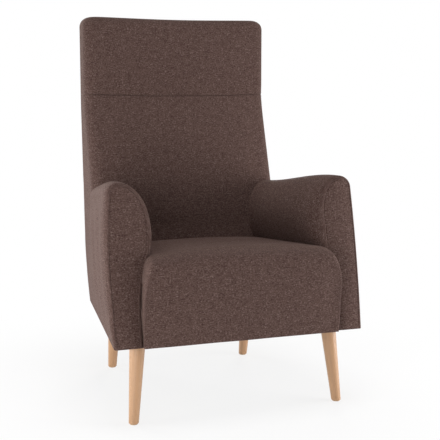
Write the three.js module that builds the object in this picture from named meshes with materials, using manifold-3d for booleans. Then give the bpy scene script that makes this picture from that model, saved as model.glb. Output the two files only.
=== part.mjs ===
import * as THREE from 'three'
import { mergeVertices } from 'three/addons/utils/BufferGeometryUtils.js'
import Module from 'manifold-3d'

// High-backed fireside chair, fixed, fully upholstered, on four turned and raked wooden legs.
// Millimetres, +Z up. The floor is z = 0, the chair faces -Y, x = 0 is its plane of symmetry,
// and y = 0 is half way between the front of the seat and the rear of the back.

// Overall sizes
const overallHeight = 1080
const overallDepth = 676
const undersideHeight = 210
const frontHalfWidth = 349
const rearNarrowing = 70

// Outer sides: they lean out and swell a little between the underside and the arm's shoulder,
// and draw in to the back's sides over the meeting length
const sideLeanFront = 11
const sideLeanRear = 11
const sideSwellFront = 12
const sideSwellRear = 6
const sideMeetLength = 120

// Seat
const seatFrontDraw = 8
const seatFrontHeight = 446
const seatRearHeight = 414
const seatCrown = 10
const seatRollDepth = 75
const seatRollHeight = 42
const seatCornerWidth = 26
const seatCornerDrop = 60

// Arms
const armHeight = 626
const armDrop = 46
const armSetback = 20
const armLean = 84
const armLeanCurveShare = 0.72
const armFootThickness = 76.5
const armShoulderWidth = 35
const armShoulderHeight = 34
const armInnerWidth = 88
const armInnerHeight = 132
const armWaistHeight = 330
const armEdgeRadius = 8
const armRunIn = 42

// Back
const backSideStep = 10.5
const headrestThickness = 88
const headrestHeight = 232
const bendBelowSeam = 28
const bendSoftness = 24
const backRecline = THREE.MathUtils.degToRad(18.5)
const rearLean = 41
const backCornerRadius = 40
const backRearCornerRadius = 11
const backTopCornerRadius = 29
const backTopFrontRadius = 29
const backTopDip = 4
const backCrown = 12
const seamDepth = 4
const seamWidth = 14

// Covers and panels
const coverThickness = 2
const sidePanelThickness = 6
const outsideBackThickness = 5
const rearStripWidth = 8
const rearStripCut = 95
const rearStripCutHeight = 360
const dustCoverThickness = 1.5
const dustCoverMargin = 14

// Timber frame
const boardThickness = 25
const railHeight = 88
const railLift = 2
const frontPadding = 9
const backPostFootDepth = 88
const backPostTopDepth = 44
const armPostDepth = 52
const armRailDepth = 30
const armRailCover = 42
const crossRailHeight = 42
const lumbarRailHeight = 450
const topRailCover = 36
const armBoardThickness = 3
const cornerBlockLength = 80
const cornerBlockHeight = 40

// Webbing
const webbingThickness = 2.5
const webbingWidth = 55
const seatStrapCount = 5
const backStrapCount = 5

// Legs and their fixings
const footSideInsetFront = 57.4
const footSideInsetRear = 60
const footInsetRear = 79
const legSplayFront = 18
const legRakeFront = 22
const legSplayRear = 1
const legRakeRear = 44
const legTopRadius = 21
const legFootRadius = 13.2
const legPlateMargin = 7
const legPlateUnderRail = 4
const legPlateThickness = 3
const plateScrewInset = 8
const plateScrewRadius = 2
const plateScrewHeadRadius = 3.6
const plateScrewHeadHeight = 2
const plateScrewLength = 18
const boltRadius = 4
const boltLegDepth = 36
const boltBlockDepth = 26
const insertRadius = 6.5
const insertLength = 15
const glideRadius = 10.5
const glideThickness = 2
const glidePinRadius = 1.5
const glidePinLength = 14

// Clearance between neighbouring pieces, and the overrun of a cutting tool
const gap = 0.3
const overrun = 30

// Facets
const roundSides = 16
const legSides = 24
const armSteps = 7
const armSideRows = 5
const armArcSteps = 4
const seatSteps = 8
const backFaceSteps = 8
const lowerBackSteps = 6

// Places worked out from the sizes above
const rearHalfWidth = frontHalfWidth - rearNarrowing
const backHalfWidth = rearHalfWidth + backSideStep
const headrestSeamHeight = overallHeight - headrestHeight
const bendHeight = headrestSeamHeight - bendBelowSeam
const frontY = -overallDepth / 2
const backY = overallDepth / 2
const armFootY = frontY + armSetback
const rearFootY = backY - rearLean
const shoulderZ = armHeight - armShoulderHeight
const sideTaper = (frontHalfWidth - rearHalfWidth) / (rearFootY - armFootY)
const frameBottomZ = undersideHeight + railLift
const railTopZ = frameBottomZ + railHeight
const deckZ = railTopZ + gap + webbingThickness + gap
const frontRailY = armFootY + coverThickness + frontPadding
const headrestFaceY = backY - headrestThickness
const frameInset = outsideBackThickness + gap
const postTopZ = overallHeight - topRailCover
const footRearY = backY - footInsetRear
const legPlateSize = 2 * (legTopRadius + legPlateMargin)
const legTopFrontY = frontRailY + boardThickness + legPlateSize / 2 - legPlateUnderRail
const footFrontY = legTopFrontY - legRakeFront

const colours = {
  fabric: new THREE.MeshStandardMaterial({ color: 0x5e4842, roughness: 0.95, metalness: 0 }),
  foam: new THREE.MeshStandardMaterial({ color: 0xd8cfae, roughness: 0.9, metalness: 0 }),
  beech: new THREE.MeshStandardMaterial({ color: 0xd0a680, roughness: 0.5, metalness: 0 }),
  timber: new THREE.MeshStandardMaterial({ color: 0xc8a878, roughness: 0.8, metalness: 0 }),
  board: new THREE.MeshStandardMaterial({ color: 0x8a6a48, roughness: 0.85, metalness: 0 }),
  webbing: new THREE.MeshStandardMaterial({ color: 0x2b2622, roughness: 0.9, metalness: 0 }),
  lining: new THREE.MeshStandardMaterial({ color: 0x1d1c1c, roughness: 0.95, metalness: 0 }),
  steel: new THREE.MeshStandardMaterial({ color: 0xa9acae, roughness: 0.35, metalness: 0.9 }),
  nylon: new THREE.MeshStandardMaterial({ color: 0xcdb594, roughness: 0.6, metalness: 0 }),
}

const chair = new THREE.Group()
chair.name = 'fireside_chair'

const wasm = await Module()
wasm.setup()

// Helpers for solids

const mix = THREE.MathUtils.lerp
const clamp = THREE.MathUtils.clamp
const smooth = (value, from, to) => THREE.MathUtils.smoothstep(value, from, to)
const steps = (count, make) => Array.from({ length: count + 1 }, (_, i) => make(i / count))

// A boolean solid from any closed three.js geometry
function solid(geometry) {
  const bare = geometry.index ? geometry.toNonIndexed() : geometry.clone()
  for (const name of Object.keys(bare.attributes)) {
    if (name !== 'position') {
      bare.deleteAttribute(name)
    }
  }
  const merged = mergeVertices(bare, 1e-3)
  const vertProperties = new Float32Array(merged.attributes.position.array)
  const triVerts = new Uint32Array(merged.index.array)
  return new wasm.Manifold(new wasm.Mesh({ numProp: 3, vertProperties, triVerts }))
}

// A three.js geometry from a boolean solid
function surface(body) {
  const mesh = body.getMesh()
  const geometry = new THREE.BufferGeometry()
  geometry.setAttribute('position', new THREE.BufferAttribute(new Float32Array(mesh.vertProperties), 3))
  geometry.setIndex(new THREE.BufferAttribute(new Uint32Array(mesh.triVerts), 1))
  const flat = geometry.toNonIndexed()
  flat.computeVertexNormals()
  return flat
}

const cut = (body, ...tools) => tools.reduce((rest, tool) => rest.subtract(tool), body)

function volume(positions) {
  const [a, b, c] = [new THREE.Vector3(), new THREE.Vector3(), new THREE.Vector3()]
  let sum = 0
  for (let i = 0; i < positions.length; i += 9) {
    a.fromArray(positions, i)
    b.fromArray(positions, i + 3)
    c.fromArray(positions, i + 6)
    sum += a.dot(b.cross(c))
  }
  return sum
}

// The triangles that close one end of a loft, wound like its ring. Rungs join the points whose
// numbers add up to sum, so that the rings of one body and of its drawn-in copies close alike.
function capTriangles(count, sum) {
  const rungs = Array.from({ length: Math.floor(count / 2) }, (_, k) => {
    return [(Math.ceil(sum / 2) - 1 - k + count) % count, (Math.floor(sum / 2) + 1 + k) % count]
  })
  const tip = sum % 2 === 0 ? [[rungs[0][0], sum / 2, rungs[0][1]]] : []
  const between = rungs.slice(1).flatMap(([left, right], k) => {
    return [[left, ...rungs[k]], [left, rungs[k][1], right]]
  })
  return [...tip, ...between]
}

// A closed body through rings of equally many points, each given as [x, y, z]
function loft(rings, sum = rings[0].length - 1) {
  const points = rings.map((ring) => ring.map(([x, y, z]) => new THREE.Vector3(x, y, z)))
  const count = points[0].length
  const faces = []
  for (let k = 0; k + 1 < points.length; k += 1) {
    for (let i = 0; i < count; i += 1) {
      const j = (i + 1) % count
      faces.push([points[k][i], points[k][j], points[k + 1][j]])
      faces.push([points[k][i], points[k + 1][j], points[k + 1][i]])
    }
  }
  const first = points[0]
  const last = points[points.length - 1]
  capTriangles(count, sum).forEach(([i, j, k]) => {
    faces.push([first[k], first[j], first[i]])
    faces.push([last[i], last[j], last[k]])
  })
  const positions = faces.flat().flatMap((point) => point.toArray())
  if (volume(positions) < 0) {
    faces.forEach((face) => face.reverse())
  }
  const geometry = new THREE.BufferGeometry()
  const array = new Float32Array(faces.flat().flatMap((point) => point.toArray()))
  geometry.setAttribute('position', new THREE.BufferAttribute(array, 3))
  geometry.computeVertexNormals()
  return geometry
}

// An upright body whose [x, y] section is set at each of several heights
const stacked = (heights, section) => solid(loft(heights.map((z) => section(z).map(([x, y]) => [x, y, z]))))

// A block between two opposite corners
function block(low, high) {
  const size = high.map((value, i) => value - low[i])
  const middle = high.map((value, i) => (value + low[i]) / 2)
  return new THREE.BoxGeometry(...size).translate(...middle)
}

// An upright round bar
function bar(radius, bottom, top, sides = roundSides) {
  const geometry = new THREE.CylinderGeometry(radius, radius, top - bottom, sides)
  return geometry.rotateX(Math.PI / 2).translate(0, 0, (top + bottom) / 2)
}

function add(name, geometry, material, position = [0, 0, 0]) {
  const mesh = new THREE.Mesh(geometry, material)
  mesh.name = name
  mesh.position.set(...position)
  chair.add(mesh)
  return mesh
}

// The outside of the body

// Half the body's width at depth y and height z
function bodyHalf(y, z) {
  const along = (y - armFootY) / (rearFootY - armFootY)
  const up = clamp((z - undersideHeight) / (shoulderZ - undersideHeight), 0, 1)
  const lean = mix(sideLeanFront, sideLeanRear, along) * up
  const swell = 4 * mix(sideSwellFront, sideSwellRear, along) * up * (1 - up)
  const straight = frontHalfWidth - sideTaper * (y - armFootY) + lean + swell
  const flush = Math.min(straight, backHalfWidth + coverThickness)
  return mix(straight, flush, up * smooth(y, armEndY - sideMeetLength, armEndY))
}

// The rear of the back at height z
function rearY(z) {
  return backY - rearLean * clamp((bendHeight - z) / (bendHeight - undersideHeight), 0, 1)
}

// The front of the back at height z: upright at the headrest, reclined below the soft bend
function faceY(z) {
  const below = bendHeight - z
  const eased = (below + Math.hypot(below, bendSoftness)) / 2
  return headrestFaceY - Math.tan(backRecline) * eased
}

// The front of an arm at height z, steeper towards the top
function armFrontY(z) {
  const up = clamp((z - undersideHeight) / (armHeight - undersideHeight), 0, 1)
  return armFootY + armLean * up * (1 + armLeanCurveShare * (1 - up))
}

const armStartY = armFrontY(armHeight)
const seatHalfWidth = frontHalfWidth - armFootThickness
const armEndY = faceY(armHeight - armDrop) + armRunIn

// The top of an arm at depth y, sweeping down to the back
const armTopZ = (y) => armHeight - armDrop * smooth(y, armStartY, armEndY)

// The front plane of the timber back frame, deeper at its foot
function postFrontY(z) {
  const up = clamp((z - frameBottomZ) / (bendHeight - frameBottomZ), 0, 1)
  return rearY(z) - frameInset - mix(backPostFootDepth, backPostTopDepth, up)
}

// Half the back's width at depth y and height z, free of the tapered sides above the arms
function backHalf(y, z) {
  const free = smooth(z, shoulderZ - armDrop, shoulderZ)
  return mix(Math.min(backHalfWidth, bodyHalf(y, z)), backHalfWidth, free)
}

// The front edge of the timber inside an arm at height z
const armPostFrontY = (z) => armFrontY(z) + coverThickness + frontPadding

// The outer face of the timber inside an arm
const armTimberX = (y, z) => bodyHalf(y, z) - sidePanelThickness - gap

// Arms

// Half section of an arm at depth y, drawn in by inset, from its foot outside to its foot inside
function armSection(y, inset, foot) {
  const top = armTopZ(y)
  const shoulder = top - armShoulderHeight
  const ridgeX = bodyHalf(y, shoulder) - armShoulderWidth
  const waistX = frontHalfWidth - sideTaper * (y - armFootY) - armFootThickness + inset
  const bulgeX = ridgeX - armInnerWidth + inset
  const bulgeZ = top - armInnerHeight
  const outer = steps(armSideRows, (t) => {
    const z = mix(undersideHeight, shoulder, t)
    return [bodyHalf(y, z) - inset, z]
  })
  const over = steps(armArcSteps, (t) => {
    const angle = t * Math.PI / 2
    const across = (armShoulderWidth - inset) * Math.cos(angle)
    return [ridgeX + across, shoulder + (armShoulderHeight - inset) * Math.sin(angle)]
  })
  const inner = steps(armArcSteps, (t) => {
    const angle = t * Math.PI / 2
    const across = (armInnerWidth - inset) * Math.sin(angle)
    return [ridgeX - across, bulgeZ + (armInnerHeight - inset) * Math.cos(angle)]
  })
  const lower = steps(armSideRows - 2, (t) => {
    const share = (1 - Math.cos(t * Math.PI)) / 2
    return [mix(bulgeX, waistX, share), mix(bulgeZ, armWaistHeight, t)]
  })
  const leg = [1 / 2, 1].map((t) => [waistX, mix(armWaistHeight, undersideHeight, t)])
  const tail = foot < undersideHeight ? [[waistX, foot], [outer[0][0], foot]] : []
  return [...outer, ...over.slice(1), ...inner.slice(1), ...lower.slice(1), ...leg, ...tail]
}

// The ring of an arm at depth y, leaning with the arm's front
function armRing(side, y, inset, foot, push, leanShare) {
  const nominal = armFrontY(armHeight - armInnerHeight)
  return armSection(y, inset, foot).map(([x, z]) => {
    const shift = (armFrontY(z) - nominal) * leanShare + push
    return [side * (x - sideTaper * shift), y + shift, z]
  })
}

// The whole arm as one body, drawn in by inset; a foot below the underside only makes a tool longer
function armBody(side, inset, foot = undersideHeight, tail = 0) {
  const start = armFrontY(armHeight - armInnerHeight)
  const radius = armEdgeRadius - inset
  const edge = [0, 1 / 3, 2 / 3].map((t) => {
    const angle = t * Math.PI / 2
    const drawn = inset + radius * (1 - Math.sin(angle))
    return armRing(side, start, drawn, foot, inset + radius * (1 - Math.cos(angle)), 1)
  })
  const run = steps(armSteps, (t) => {
    const y = mix(start + armEdgeRadius, armEndY + tail, t)
    return armRing(side, y, inset, foot, 0, 1 - t)
  })
  return solid(loft([...edge, ...run], 2 * (armSideRows + armArcSteps)))
}

// Side panels

// The rear edge of a side panel at height z
function panelRearY(z) {
  const up = clamp((z - rearStripCutHeight) / (shoulderZ - armDrop - rearStripCutHeight), 0, 1)
  return rearY(z) - rearStripWidth - rearStripCut * up * up
}

// A sheet that follows the side of the body, from a foot below its lowest row up to a top edge
function sideSheet(side, outer, inner, rows, topAt, frontAt, rearAt) {
  const rings = steps(6, (t) => {
    const top = topAt(mix(frontAt(shoulderZ), rearAt(shoulderZ - armDrop), t))
    const heights = steps(5, (v) => mix(rows.bottom, top, v))
    const line = [...(rows.foot < rows.bottom ? [rows.foot] : []), ...heights].map((z) => {
      return [mix(frontAt(z), rearAt(z), t), z]
    })
    const out = line.map(([y, z]) => [side * (bodyHalf(y, z) - outer), y, z])
    const inn = line.map(([y, z]) => [side * (bodyHalf(y, z) - inner), y, z])
    return [...out, ...inn.reverse()]
  })
  return solid(loft(rings))
}

// A side panel, grown by a clearance all round and by an overrun outside and below it
function sidePanel(side, grow = 0, outside = 0) {
  const top = (y) => armTopZ(y) - armShoulderHeight + grow
  const front = (z) => armFrontY(z) + armEdgeRadius - grow
  const rear = (z) => panelRearY(z) + grow
  const rows = { bottom: undersideHeight, foot: undersideHeight - outside }
  return sideSheet(side, -outside, sidePanelThickness + grow, rows, top, front, rear)
}

// Back

// The ring of the back at height z, narrowed by side, front and rear insets
function backRing(z, inset, sideIn, frontIn, rearIn, dip) {
  const front = faceY(z) + inset + frontIn
  const rear = rearY(z) - inset - rearIn
  const half = (y) => backHalf(y, z) - inset - sideIn
  const radius = Math.max(backCornerRadius - inset - sideIn / 2, backRearCornerRadius)
  const rearRadius = Math.max(backRearCornerRadius - inset, gap)
  const flat = half(front + radius) - radius
  const seam = seamDepth * Math.exp(-(((z - headrestSeamHeight) / seamWidth) ** 2))
  const height = (x) => z - dip * (1 - (x / backHalfWidth) ** 2) ** 2
  const crownZ = clamp((overallHeight - z) / (overallHeight - headrestSeamHeight), 0, 1)
  const crown = backCrown * Math.sin(Math.min(crownZ, 1 / 2) * Math.PI)
  const face = steps(backFaceSteps, (t) => {
    const x = mix(-flat, flat, t)
    const bulge = (crown - seam) * (1 - (x / flat) ** 2)
    return [x, front - bulge, height(x)]
  })
  const corner = (side) => steps(3, (t) => {
    const angle = t * Math.PI / 2
    const x = flat + radius * Math.sin(angle)
    const y = front + radius * (1 - Math.cos(angle))
    return [side * x, y, height(x)]
  })
  const rearCorner = (side) => steps(2, (t) => {
    const angle = t * Math.PI / 2
    const x = half(rear) - rearRadius * (1 - Math.cos(angle))
    return [side * x, rear - rearRadius * (1 - Math.sin(angle)), height(x)]
  })
  const right = [...corner(1).slice(1), ...rearCorner(1)]
  const left = [...corner(-1).slice(1), ...rearCorner(-1)]
  const behind = face.map(([x]) => [x, rear, height(x)]).reverse()
  return [...face, ...right, ...behind, ...left.reverse()]
}

// The whole back as one body, drawn in by inset; a foot below the underside only makes a tool longer
function backBody(inset, foot = undersideHeight) {
  const shoulder = overallHeight - backTopCornerRadius
  const seamRows = [-2, -1, 0, 1, 2].map((k) => headrestSeamHeight + k * seamWidth / 2)
  const rows = [
    ...(foot < undersideHeight ? [foot] : []),
    ...steps(lowerBackSteps, (t) => mix(undersideHeight, bendHeight - bendSoftness, t)),
    ...seamRows,
    ...steps(3, (t) => mix(headrestSeamHeight + 2 * seamWidth, shoulder, t)),
  ]
  const rings = rows.map((z) => backRing(z, inset, 0, 0, 0, 0))
  const crest = [1 / 4, 2 / 4, 3 / 4, 1].map((t) => {
    const angle = t * Math.PI / 2
    const drawn = 1 - Math.cos(angle)
    const rise = (backTopCornerRadius - inset) * Math.sin(angle)
    return backRing(
      shoulder + rise, inset,
      (backTopCornerRadius - inset) * drawn,
      (backTopFrontRadius - inset) * drawn,
      (backRearCornerRadius - inset) * drawn,
      backTopDip * Math.sin(angle) ** 2,
    )
  })
  const lastOfRight = backFaceSteps + 3
  return solid(loft([...rings, ...crest], 2 * lastOfRight + 1))
}

// The hollow behind the back's padding, where the timber back frame stands
function backChamber(clear) {
  const side = (x) => [
    [x, backY + overrun, frameBottomZ - overrun],
    [x, backY + overrun, postTopZ + gap],
    [x, postFrontY(postTopZ) - clear, postTopZ + gap],
    [x, postFrontY(bendHeight) - clear, bendHeight],
    [x, postFrontY(frameBottomZ) - clear, frameBottomZ],
    [x, postFrontY(frameBottomZ - overrun) - clear, frameBottomZ - overrun],
  ]
  return solid(loft([side(-frontHalfWidth), side(frontHalfWidth)]))
}

// The outside back panel, grown by a clearance all round and by an overrun behind it
function outsideBack(grow = 0, outside = 0) {
  const rim = backRearCornerRadius
  const topZ = overallHeight - backTopDip - rim
  const widest = (z) => backHalf(rearY(z), z) - rim
  const rows = [undersideHeight - outside, shoulderZ / 2 + undersideHeight / 2, shoulderZ, bendHeight]
  const crest = [0, 1 / 3, 2 / 3, 1].map((t) => {
    const angle = t * Math.PI / 2
    const radius = backTopCornerRadius - rim
    const inset = radius * (1 - Math.cos(angle))
    return [topZ - radius * (1 - Math.sin(angle)), inset]
  })
  const levels = [...rows.map((z) => [z, 0]), ...crest]
  const rings = levels.map(([z, inset], i) => {
    const x = widest(z) - inset + grow
    const up = i === levels.length - 1 ? z + grow : z
    const near = rearY(z) - outsideBackThickness - grow
    return [[-x, near, up], [x, near, up], [x, rearY(z) + outside, up], [-x, rearY(z) + outside, up]]
  })
  return solid(loft(rings))
}

// Seat

// The seat as one body, drawn in by inset, with its foot at a given height
function seatBody(inset, foot = undersideHeight) {
  const half = seatHalfWidth - inset
  const rear = postFrontY(deckZ)
  const sideStations = [0, 1, 2, 3].map((k) => {
    const angle = (k / 3) * Math.PI / 2
    const x = half - (seatCornerWidth - inset) * (1 - Math.sin(angle))
    return [x, 1 - Math.cos(angle)]
  })
  const middle = sideStations[0][0]
  const inner = steps(seatSteps, (t) => [mix(-middle, middle, t), 0])
  const right = sideStations.slice(1)
  const left = right.map(([x, sunk]) => [-x, sunk]).reverse()
  const rings = [...left, ...inner, ...right].map(([x, sunk]) => {
    const drop = (seatCornerDrop - inset) * sunk
    const crown = seatCrown * (1 - (x / seatHalfWidth) ** 2)
    const top = (y) => {
      const t = clamp((y - frontY - seatRollDepth) / (rear - frontY - seatRollDepth), 0, 1)
      return mix(seatFrontHeight, seatRearHeight, t) - seatCrown + crown - inset - drop
    }
    const roll = steps(6, (t) => {
      const angle = t * Math.PI / 2
      const y = frontY + inset + (seatRollDepth - inset) * (1 - Math.cos(angle))
      return [x, y, top(frontY) - (seatRollHeight - inset) * (1 - Math.sin(angle))]
    })
    const deck = [1, 2, 3, 4].map((k) => {
      const y = mix(frontY + seatRollDepth, rear, k / 4)
      return [x, y, top(y)]
    })
    return [[x, frontY + seatFrontDraw + inset, foot], ...roll, ...deck, [x, rear, foot]]
  })
  return solid(loft(rings))
}

// The space of the seat frame: lower than the webbing and behind a front face set for each height
function frameSpace(frontAt) {
  const reach = overallDepth
  return stacked([lowered - overrun, frameBottomZ, railTopZ, deckZ], (z) => {
    return [[-reach, frontAt(z)], [reach, frontAt(z)], [reach, reach], [-reach, reach]]
  })
}

// Soft pieces

const inside = coverThickness + gap
const lowered = undersideHeight - overrun
const back = backBody(-gap, lowered)
const backSkin = backBody(-inside, lowered)
const panelTools = [1, -1].map((side) => sidePanel(side, gap, overrun))
const seatFrame = frameSpace(() => frontRailY - gap)
const armFrame = frameSpace((z) => armPostFrontY(z) - gap)

// A slab of everything between two heights
const slab = (from, to) => solid(block([-overallDepth, -overallDepth, from], [overallDepth, overallDepth, to]))

function addArmSoftPieces(side, word) {
  const panelTool = panelTools[side > 0 ? 0 : 1]
  const whole = armBody(side, 0)
  const hollow = armBody(side, coverThickness, lowered, gap)
  const cover = cut(whole, hollow, panelTool, back, armFrame)
  add(word + '_arm_cover', surface(cover), colours.fabric)
  add(word + '_side_panel', surface(sidePanel(side)), colours.fabric)
  const frame = [armPost(side, gap), armRail(side, gap), armBoard(side, 2 * gap)]
  const filling = cut(armBody(side, inside), panelTool, backSkin, armFrame, ...frame)
  add(word + '_arm_foam', surface(filling), colours.foam)
}

function addBackSoftPieces() {
  const aboveSeam = slab(headrestSeamHeight - gap / 2, overallHeight + overrun)
  const belowSeam = slab(lowered - overrun, headrestSeamHeight + gap / 2)
  const tools = [outsideBack(gap, overrun), ...panelTools, ...[1, -1].map((side) => armRail(side, gap))]
  const corner = rearY(deckZ) - rearStripWidth - boardThickness
  const low = solid(block([-overallDepth, -overallDepth, lowered], [overallDepth, corner, deckZ]))
  const cover = cut(backBody(0), backBody(coverThickness, lowered), low, ...tools)
  add('headrest_cover', surface(cut(cover, belowSeam)), colours.fabric)
  add('lower_back_cover', surface(cut(cover, aboveSeam)), colours.fabric)
  const chamber = backChamber(webbingThickness + 2 * gap)
  const padding = cut(backBody(inside), chamber, slab(lowered, deckZ), ...tools)
  add('headrest_foam', surface(cut(padding, belowSeam)), colours.foam)
  add('lower_back_foam', surface(cut(padding, aboveSeam)), colours.foam)
  add('outside_back_panel', surface(outsideBack()), colours.fabric)
}

function addSeatSoftPieces() {
  const arms = [1, -1].map((side) => armBody(side, -gap, lowered))
  const armSkins = [1, -1].map((side) => armBody(side, -inside, lowered))
  const hollow = cut(seatBody(coverThickness, lowered), ...armSkins, backSkin)
  const cover = cut(seatBody(0), ...arms, ...panelTools, back, seatFrame, hollow)
  add('seat_cover', surface(cover), colours.fabric)
  const wide = [1, -1].map((side) => armBody(side, -inside - gap, lowered))
  const rearSkin = backBody(-inside - gap, lowered)
  const filling = cut(seatBody(inside), ...wide, ...panelTools, rearSkin, seatFrame)
  add('seat_foam', surface(filling), colours.foam)
}

// Timber frame

// The outer face of the side rails in plan
const railOuterX = (y) => bodyHalf(y, undersideHeight) - sidePanelThickness - gap

// The outer face of a back post at height z, straight up to the arm's shoulder
function postOuterX(z) {
  const up = clamp((z - frameBottomZ) / (shoulderZ - frameBottomZ), 0, 1)
  const foot = backHalf(rearY(frameBottomZ), frameBottomZ) - sidePanelThickness - gap
  return mix(foot, backHalfWidth - coverThickness - gap, up)
}

function frontRail() {
  const rear = frontRailY + boardThickness
  const x = frontHalfWidth - armFootThickness - sideTaper * (rear - armFootY) - gap
  return solid(block([-x, frontRailY, frameBottomZ], [x, frontRailY + boardThickness, railTopZ]))
}

function sideRail(side) {
  return stacked([frameBottomZ, railTopZ], (z) => {
    const ends = [armPostFrontY(z) + armPostDepth + gap, postFrontY(z) - gap]
    const outline = ends.map((y) => [railOuterX(y), y])
    const inner = outline.map(([x, y]) => [x - boardThickness, y]).reverse()
    return [...outline, ...inner].map(([x, y]) => [side * x, y])
  })
}

// A rail between the back posts whose front or rear face stands at the depth given for each height
function crossRail(bottom, top, frontAt) {
  return stacked([bottom, top], (z) => {
    const x = postOuterX(z) - boardThickness - gap
    const y = frontAt(z)
    return [[-x, y], [x, y], [x, y + boardThickness], [-x, y + boardThickness]]
  })
}

function backPost(side) {
  const post = stacked([frameBottomZ, shoulderZ, bendHeight, postTopZ], (z) => {
    const outer = postOuterX(z)
    const inner = outer - boardThickness
    const ys = [postFrontY(z), rearY(z) - frameInset]
    return [[inner, ys[0]], [outer, ys[0]], [outer, ys[1]], [inner, ys[1]]].map(([x, y]) => [side * x, y])
  })
  return post.intersect(backBody(inside, lowered))
}

function armPost(side, grow = 0) {
  const top = armTopZ(armStartY) - armRailCover - armRailDepth
  const heights = [frameBottomZ - grow, railTopZ, mix(railTopZ, top, 1 / 2), top + grow]
  return stacked(heights, (z) => {
    const ys = [armPostFrontY(z) - grow, armPostFrontY(z) + armPostDepth + grow]
    const outer = ys.map((y) => [armTimberX(y, z) + grow, y])
    const inner = ys.map((y) => [armTimberX(y, z) - boardThickness - grow, y])
    return [...outer, ...inner.reverse()].map(([x, y]) => [side * x, y])
  })
}

function armRail(side, grow = 0) {
  const from = armPostFrontY(armHeight - armRailCover)
  const to = postFrontY(armHeight - armDrop - armRailCover - armRailDepth) - gap
  const ends = [armTimberX(from, armHeight - armRailCover), postOuterX(armHeight - armDrop - armRailCover)]
  const rings = steps(5, (t) => {
    const y = mix(from - grow, to + grow, t)
    const x = mix(...ends, t)
    const top = armTopZ(y) - armRailCover
    const zs = [top - armRailDepth - grow, top + grow]
    const outer = zs.map((z) => [side * (x + grow), y, z])
    const inner = zs.map((z) => [side * (x - boardThickness - grow), y, z])
    return [...outer, ...inner.reverse()]
  })
  return solid(loft(rings))
}

function armBoard(side, grow = 0) {
  const outer = sidePanelThickness + boardThickness + 2 * gap - grow
  const top = (y) => armTopZ(y) - armRailCover - gap + grow
  const front = (z) => armPostFrontY(z) + armPostDepth / 4 - grow
  const rear = (z) => faceY(z) - 2 * gap + grow
  const rows = { bottom: deckZ - grow, foot: deckZ }
  return sideSheet(side, outer, outer + armBoardThickness + 2 * grow, rows, top, front, rear)
}

function cornerBlock(corner) {
  const { side, front } = corner
  const near = front ? frontRailY + boardThickness + gap : rearY(frameBottomZ) - frameInset - boardThickness - gap
  const far = front ? near + cornerBlockLength : near - cornerBlockLength
  const outer = (y) => (front ? railOuterX(y) : postOuterX(frameBottomZ)) - boardThickness - gap
  const edge = [near, far].map((y) => [outer(y), y])
  const inner = edge.map(([x, y]) => [x - cornerBlockLength, y]).reverse()
  const outline = [...edge, ...inner].map(([x, y]) => [side * x, y])
  const body = stacked([frameBottomZ, frameBottomZ + cornerBlockHeight], () => outline)
  return cut(body, ...blockBores(corner))
}

// Legs and their fixings

const plateTopZ = frameBottomZ - gap
const plateBottomZ = plateTopZ - legPlateThickness
const legTopZ = plateBottomZ - gap

const corners = [
  { word: 'front_left', side: 1, front: true },
  { word: 'front_right', side: -1, front: true },
  { word: 'rear_left', side: 1, front: false },
  { word: 'rear_right', side: -1, front: false },
].map((corner) => {
  const { side, front } = corner
  const footX = side * (front ? frontHalfWidth - footSideInsetFront : rearHalfWidth - footSideInsetRear)
  const footY = front ? footFrontY : footRearY
  const topX = footX - side * (front ? legSplayFront : legSplayRear)
  const topY = front ? footY + legRakeFront : footY - legRakeRear
  return { ...corner, foot: [footX, footY, 0], top: [topX, topY, 0] }
})

const screwPlaces = [[1, 1], [-1, 1], [-1, -1], [1, -1]].map(([x, y]) => {
  const reach = legPlateSize / 2 - plateScrewInset
  return [x * reach, y * reach, 0]
})

// The bores of a corner block: for the threaded insert, the bolt and the plate's screws
function blockBores(corner) {
  const insertTop = frameBottomZ + insertLength + gap
  const boltTop = frameBottomZ + boltBlockDepth + gap
  const screwTop = plateBottomZ + plateScrewLength
  const centre = [
    bar(insertRadius + gap, frameBottomZ - overrun, insertTop),
    bar(boltRadius + gap, frameBottomZ - overrun, boltTop),
  ]
  const screws = screwPlaces.map((place) => {
    return bar(plateScrewRadius + gap, frameBottomZ - overrun, screwTop, roundSides / 2).translate(...place)
  })
  return [...centre, ...screws].map((tool) => solid(tool.translate(...corner.top)))
}

// A turned leg, tapered along its own raked axis and cut level at both ends
function leg(corner) {
  const foot = new THREE.Vector3(...corner.foot)
  const top = new THREE.Vector3(corner.top[0], corner.top[1], legTopZ)
  const axis = new THREE.Vector3().subVectors(top, foot)
  const length = axis.length()
  const flare = (legTopRadius - legFootRadius) / length * overrun
  const wide = legTopRadius + flare
  const narrow = legFootRadius - flare
  const stock = new THREE.CylinderGeometry(wide, narrow, length + 2 * overrun, legSides)
  stock.translate(0, length / 2, 0)
  stock.applyQuaternion(new THREE.Quaternion().setFromUnitVectors(new THREE.Vector3(0, 1, 0), axis.normalize()))
  const reach = overallDepth
  const below = block([-reach, -reach, -reach], [reach, reach, glideThickness + gap])
  const above = block([-reach, -reach, legTopZ], [reach, reach, reach])
  const pinBore = bar(glidePinRadius + gap, -overrun, glideThickness + glidePinLength + gap, roundSides / 2)
  const boltBore = bar(boltRadius + gap, legTopZ - boltLegDepth - gap, legTopZ + overrun)
  boltBore.translate(top.x - foot.x, top.y - foot.y, 0)
  return cut(solid(stock), solid(below), solid(above), solid(pinBore), solid(boltBore))
}

// A leg's plate with its four screws, joined to it
function legPlate() {
  const reach = legPlateSize / 2
  const plate = solid(block([-reach, -reach, plateBottomZ], [reach, reach, plateTopZ]))
  const bore = solid(bar(boltRadius + gap, plateBottomZ - overrun, plateTopZ + overrun))
  const screws = screwPlaces.map((place) => solid(plateScrew().translate(...place)))
  return screws.reduce((whole, screw) => whole.add(screw), cut(plate, bore))
}

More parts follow.
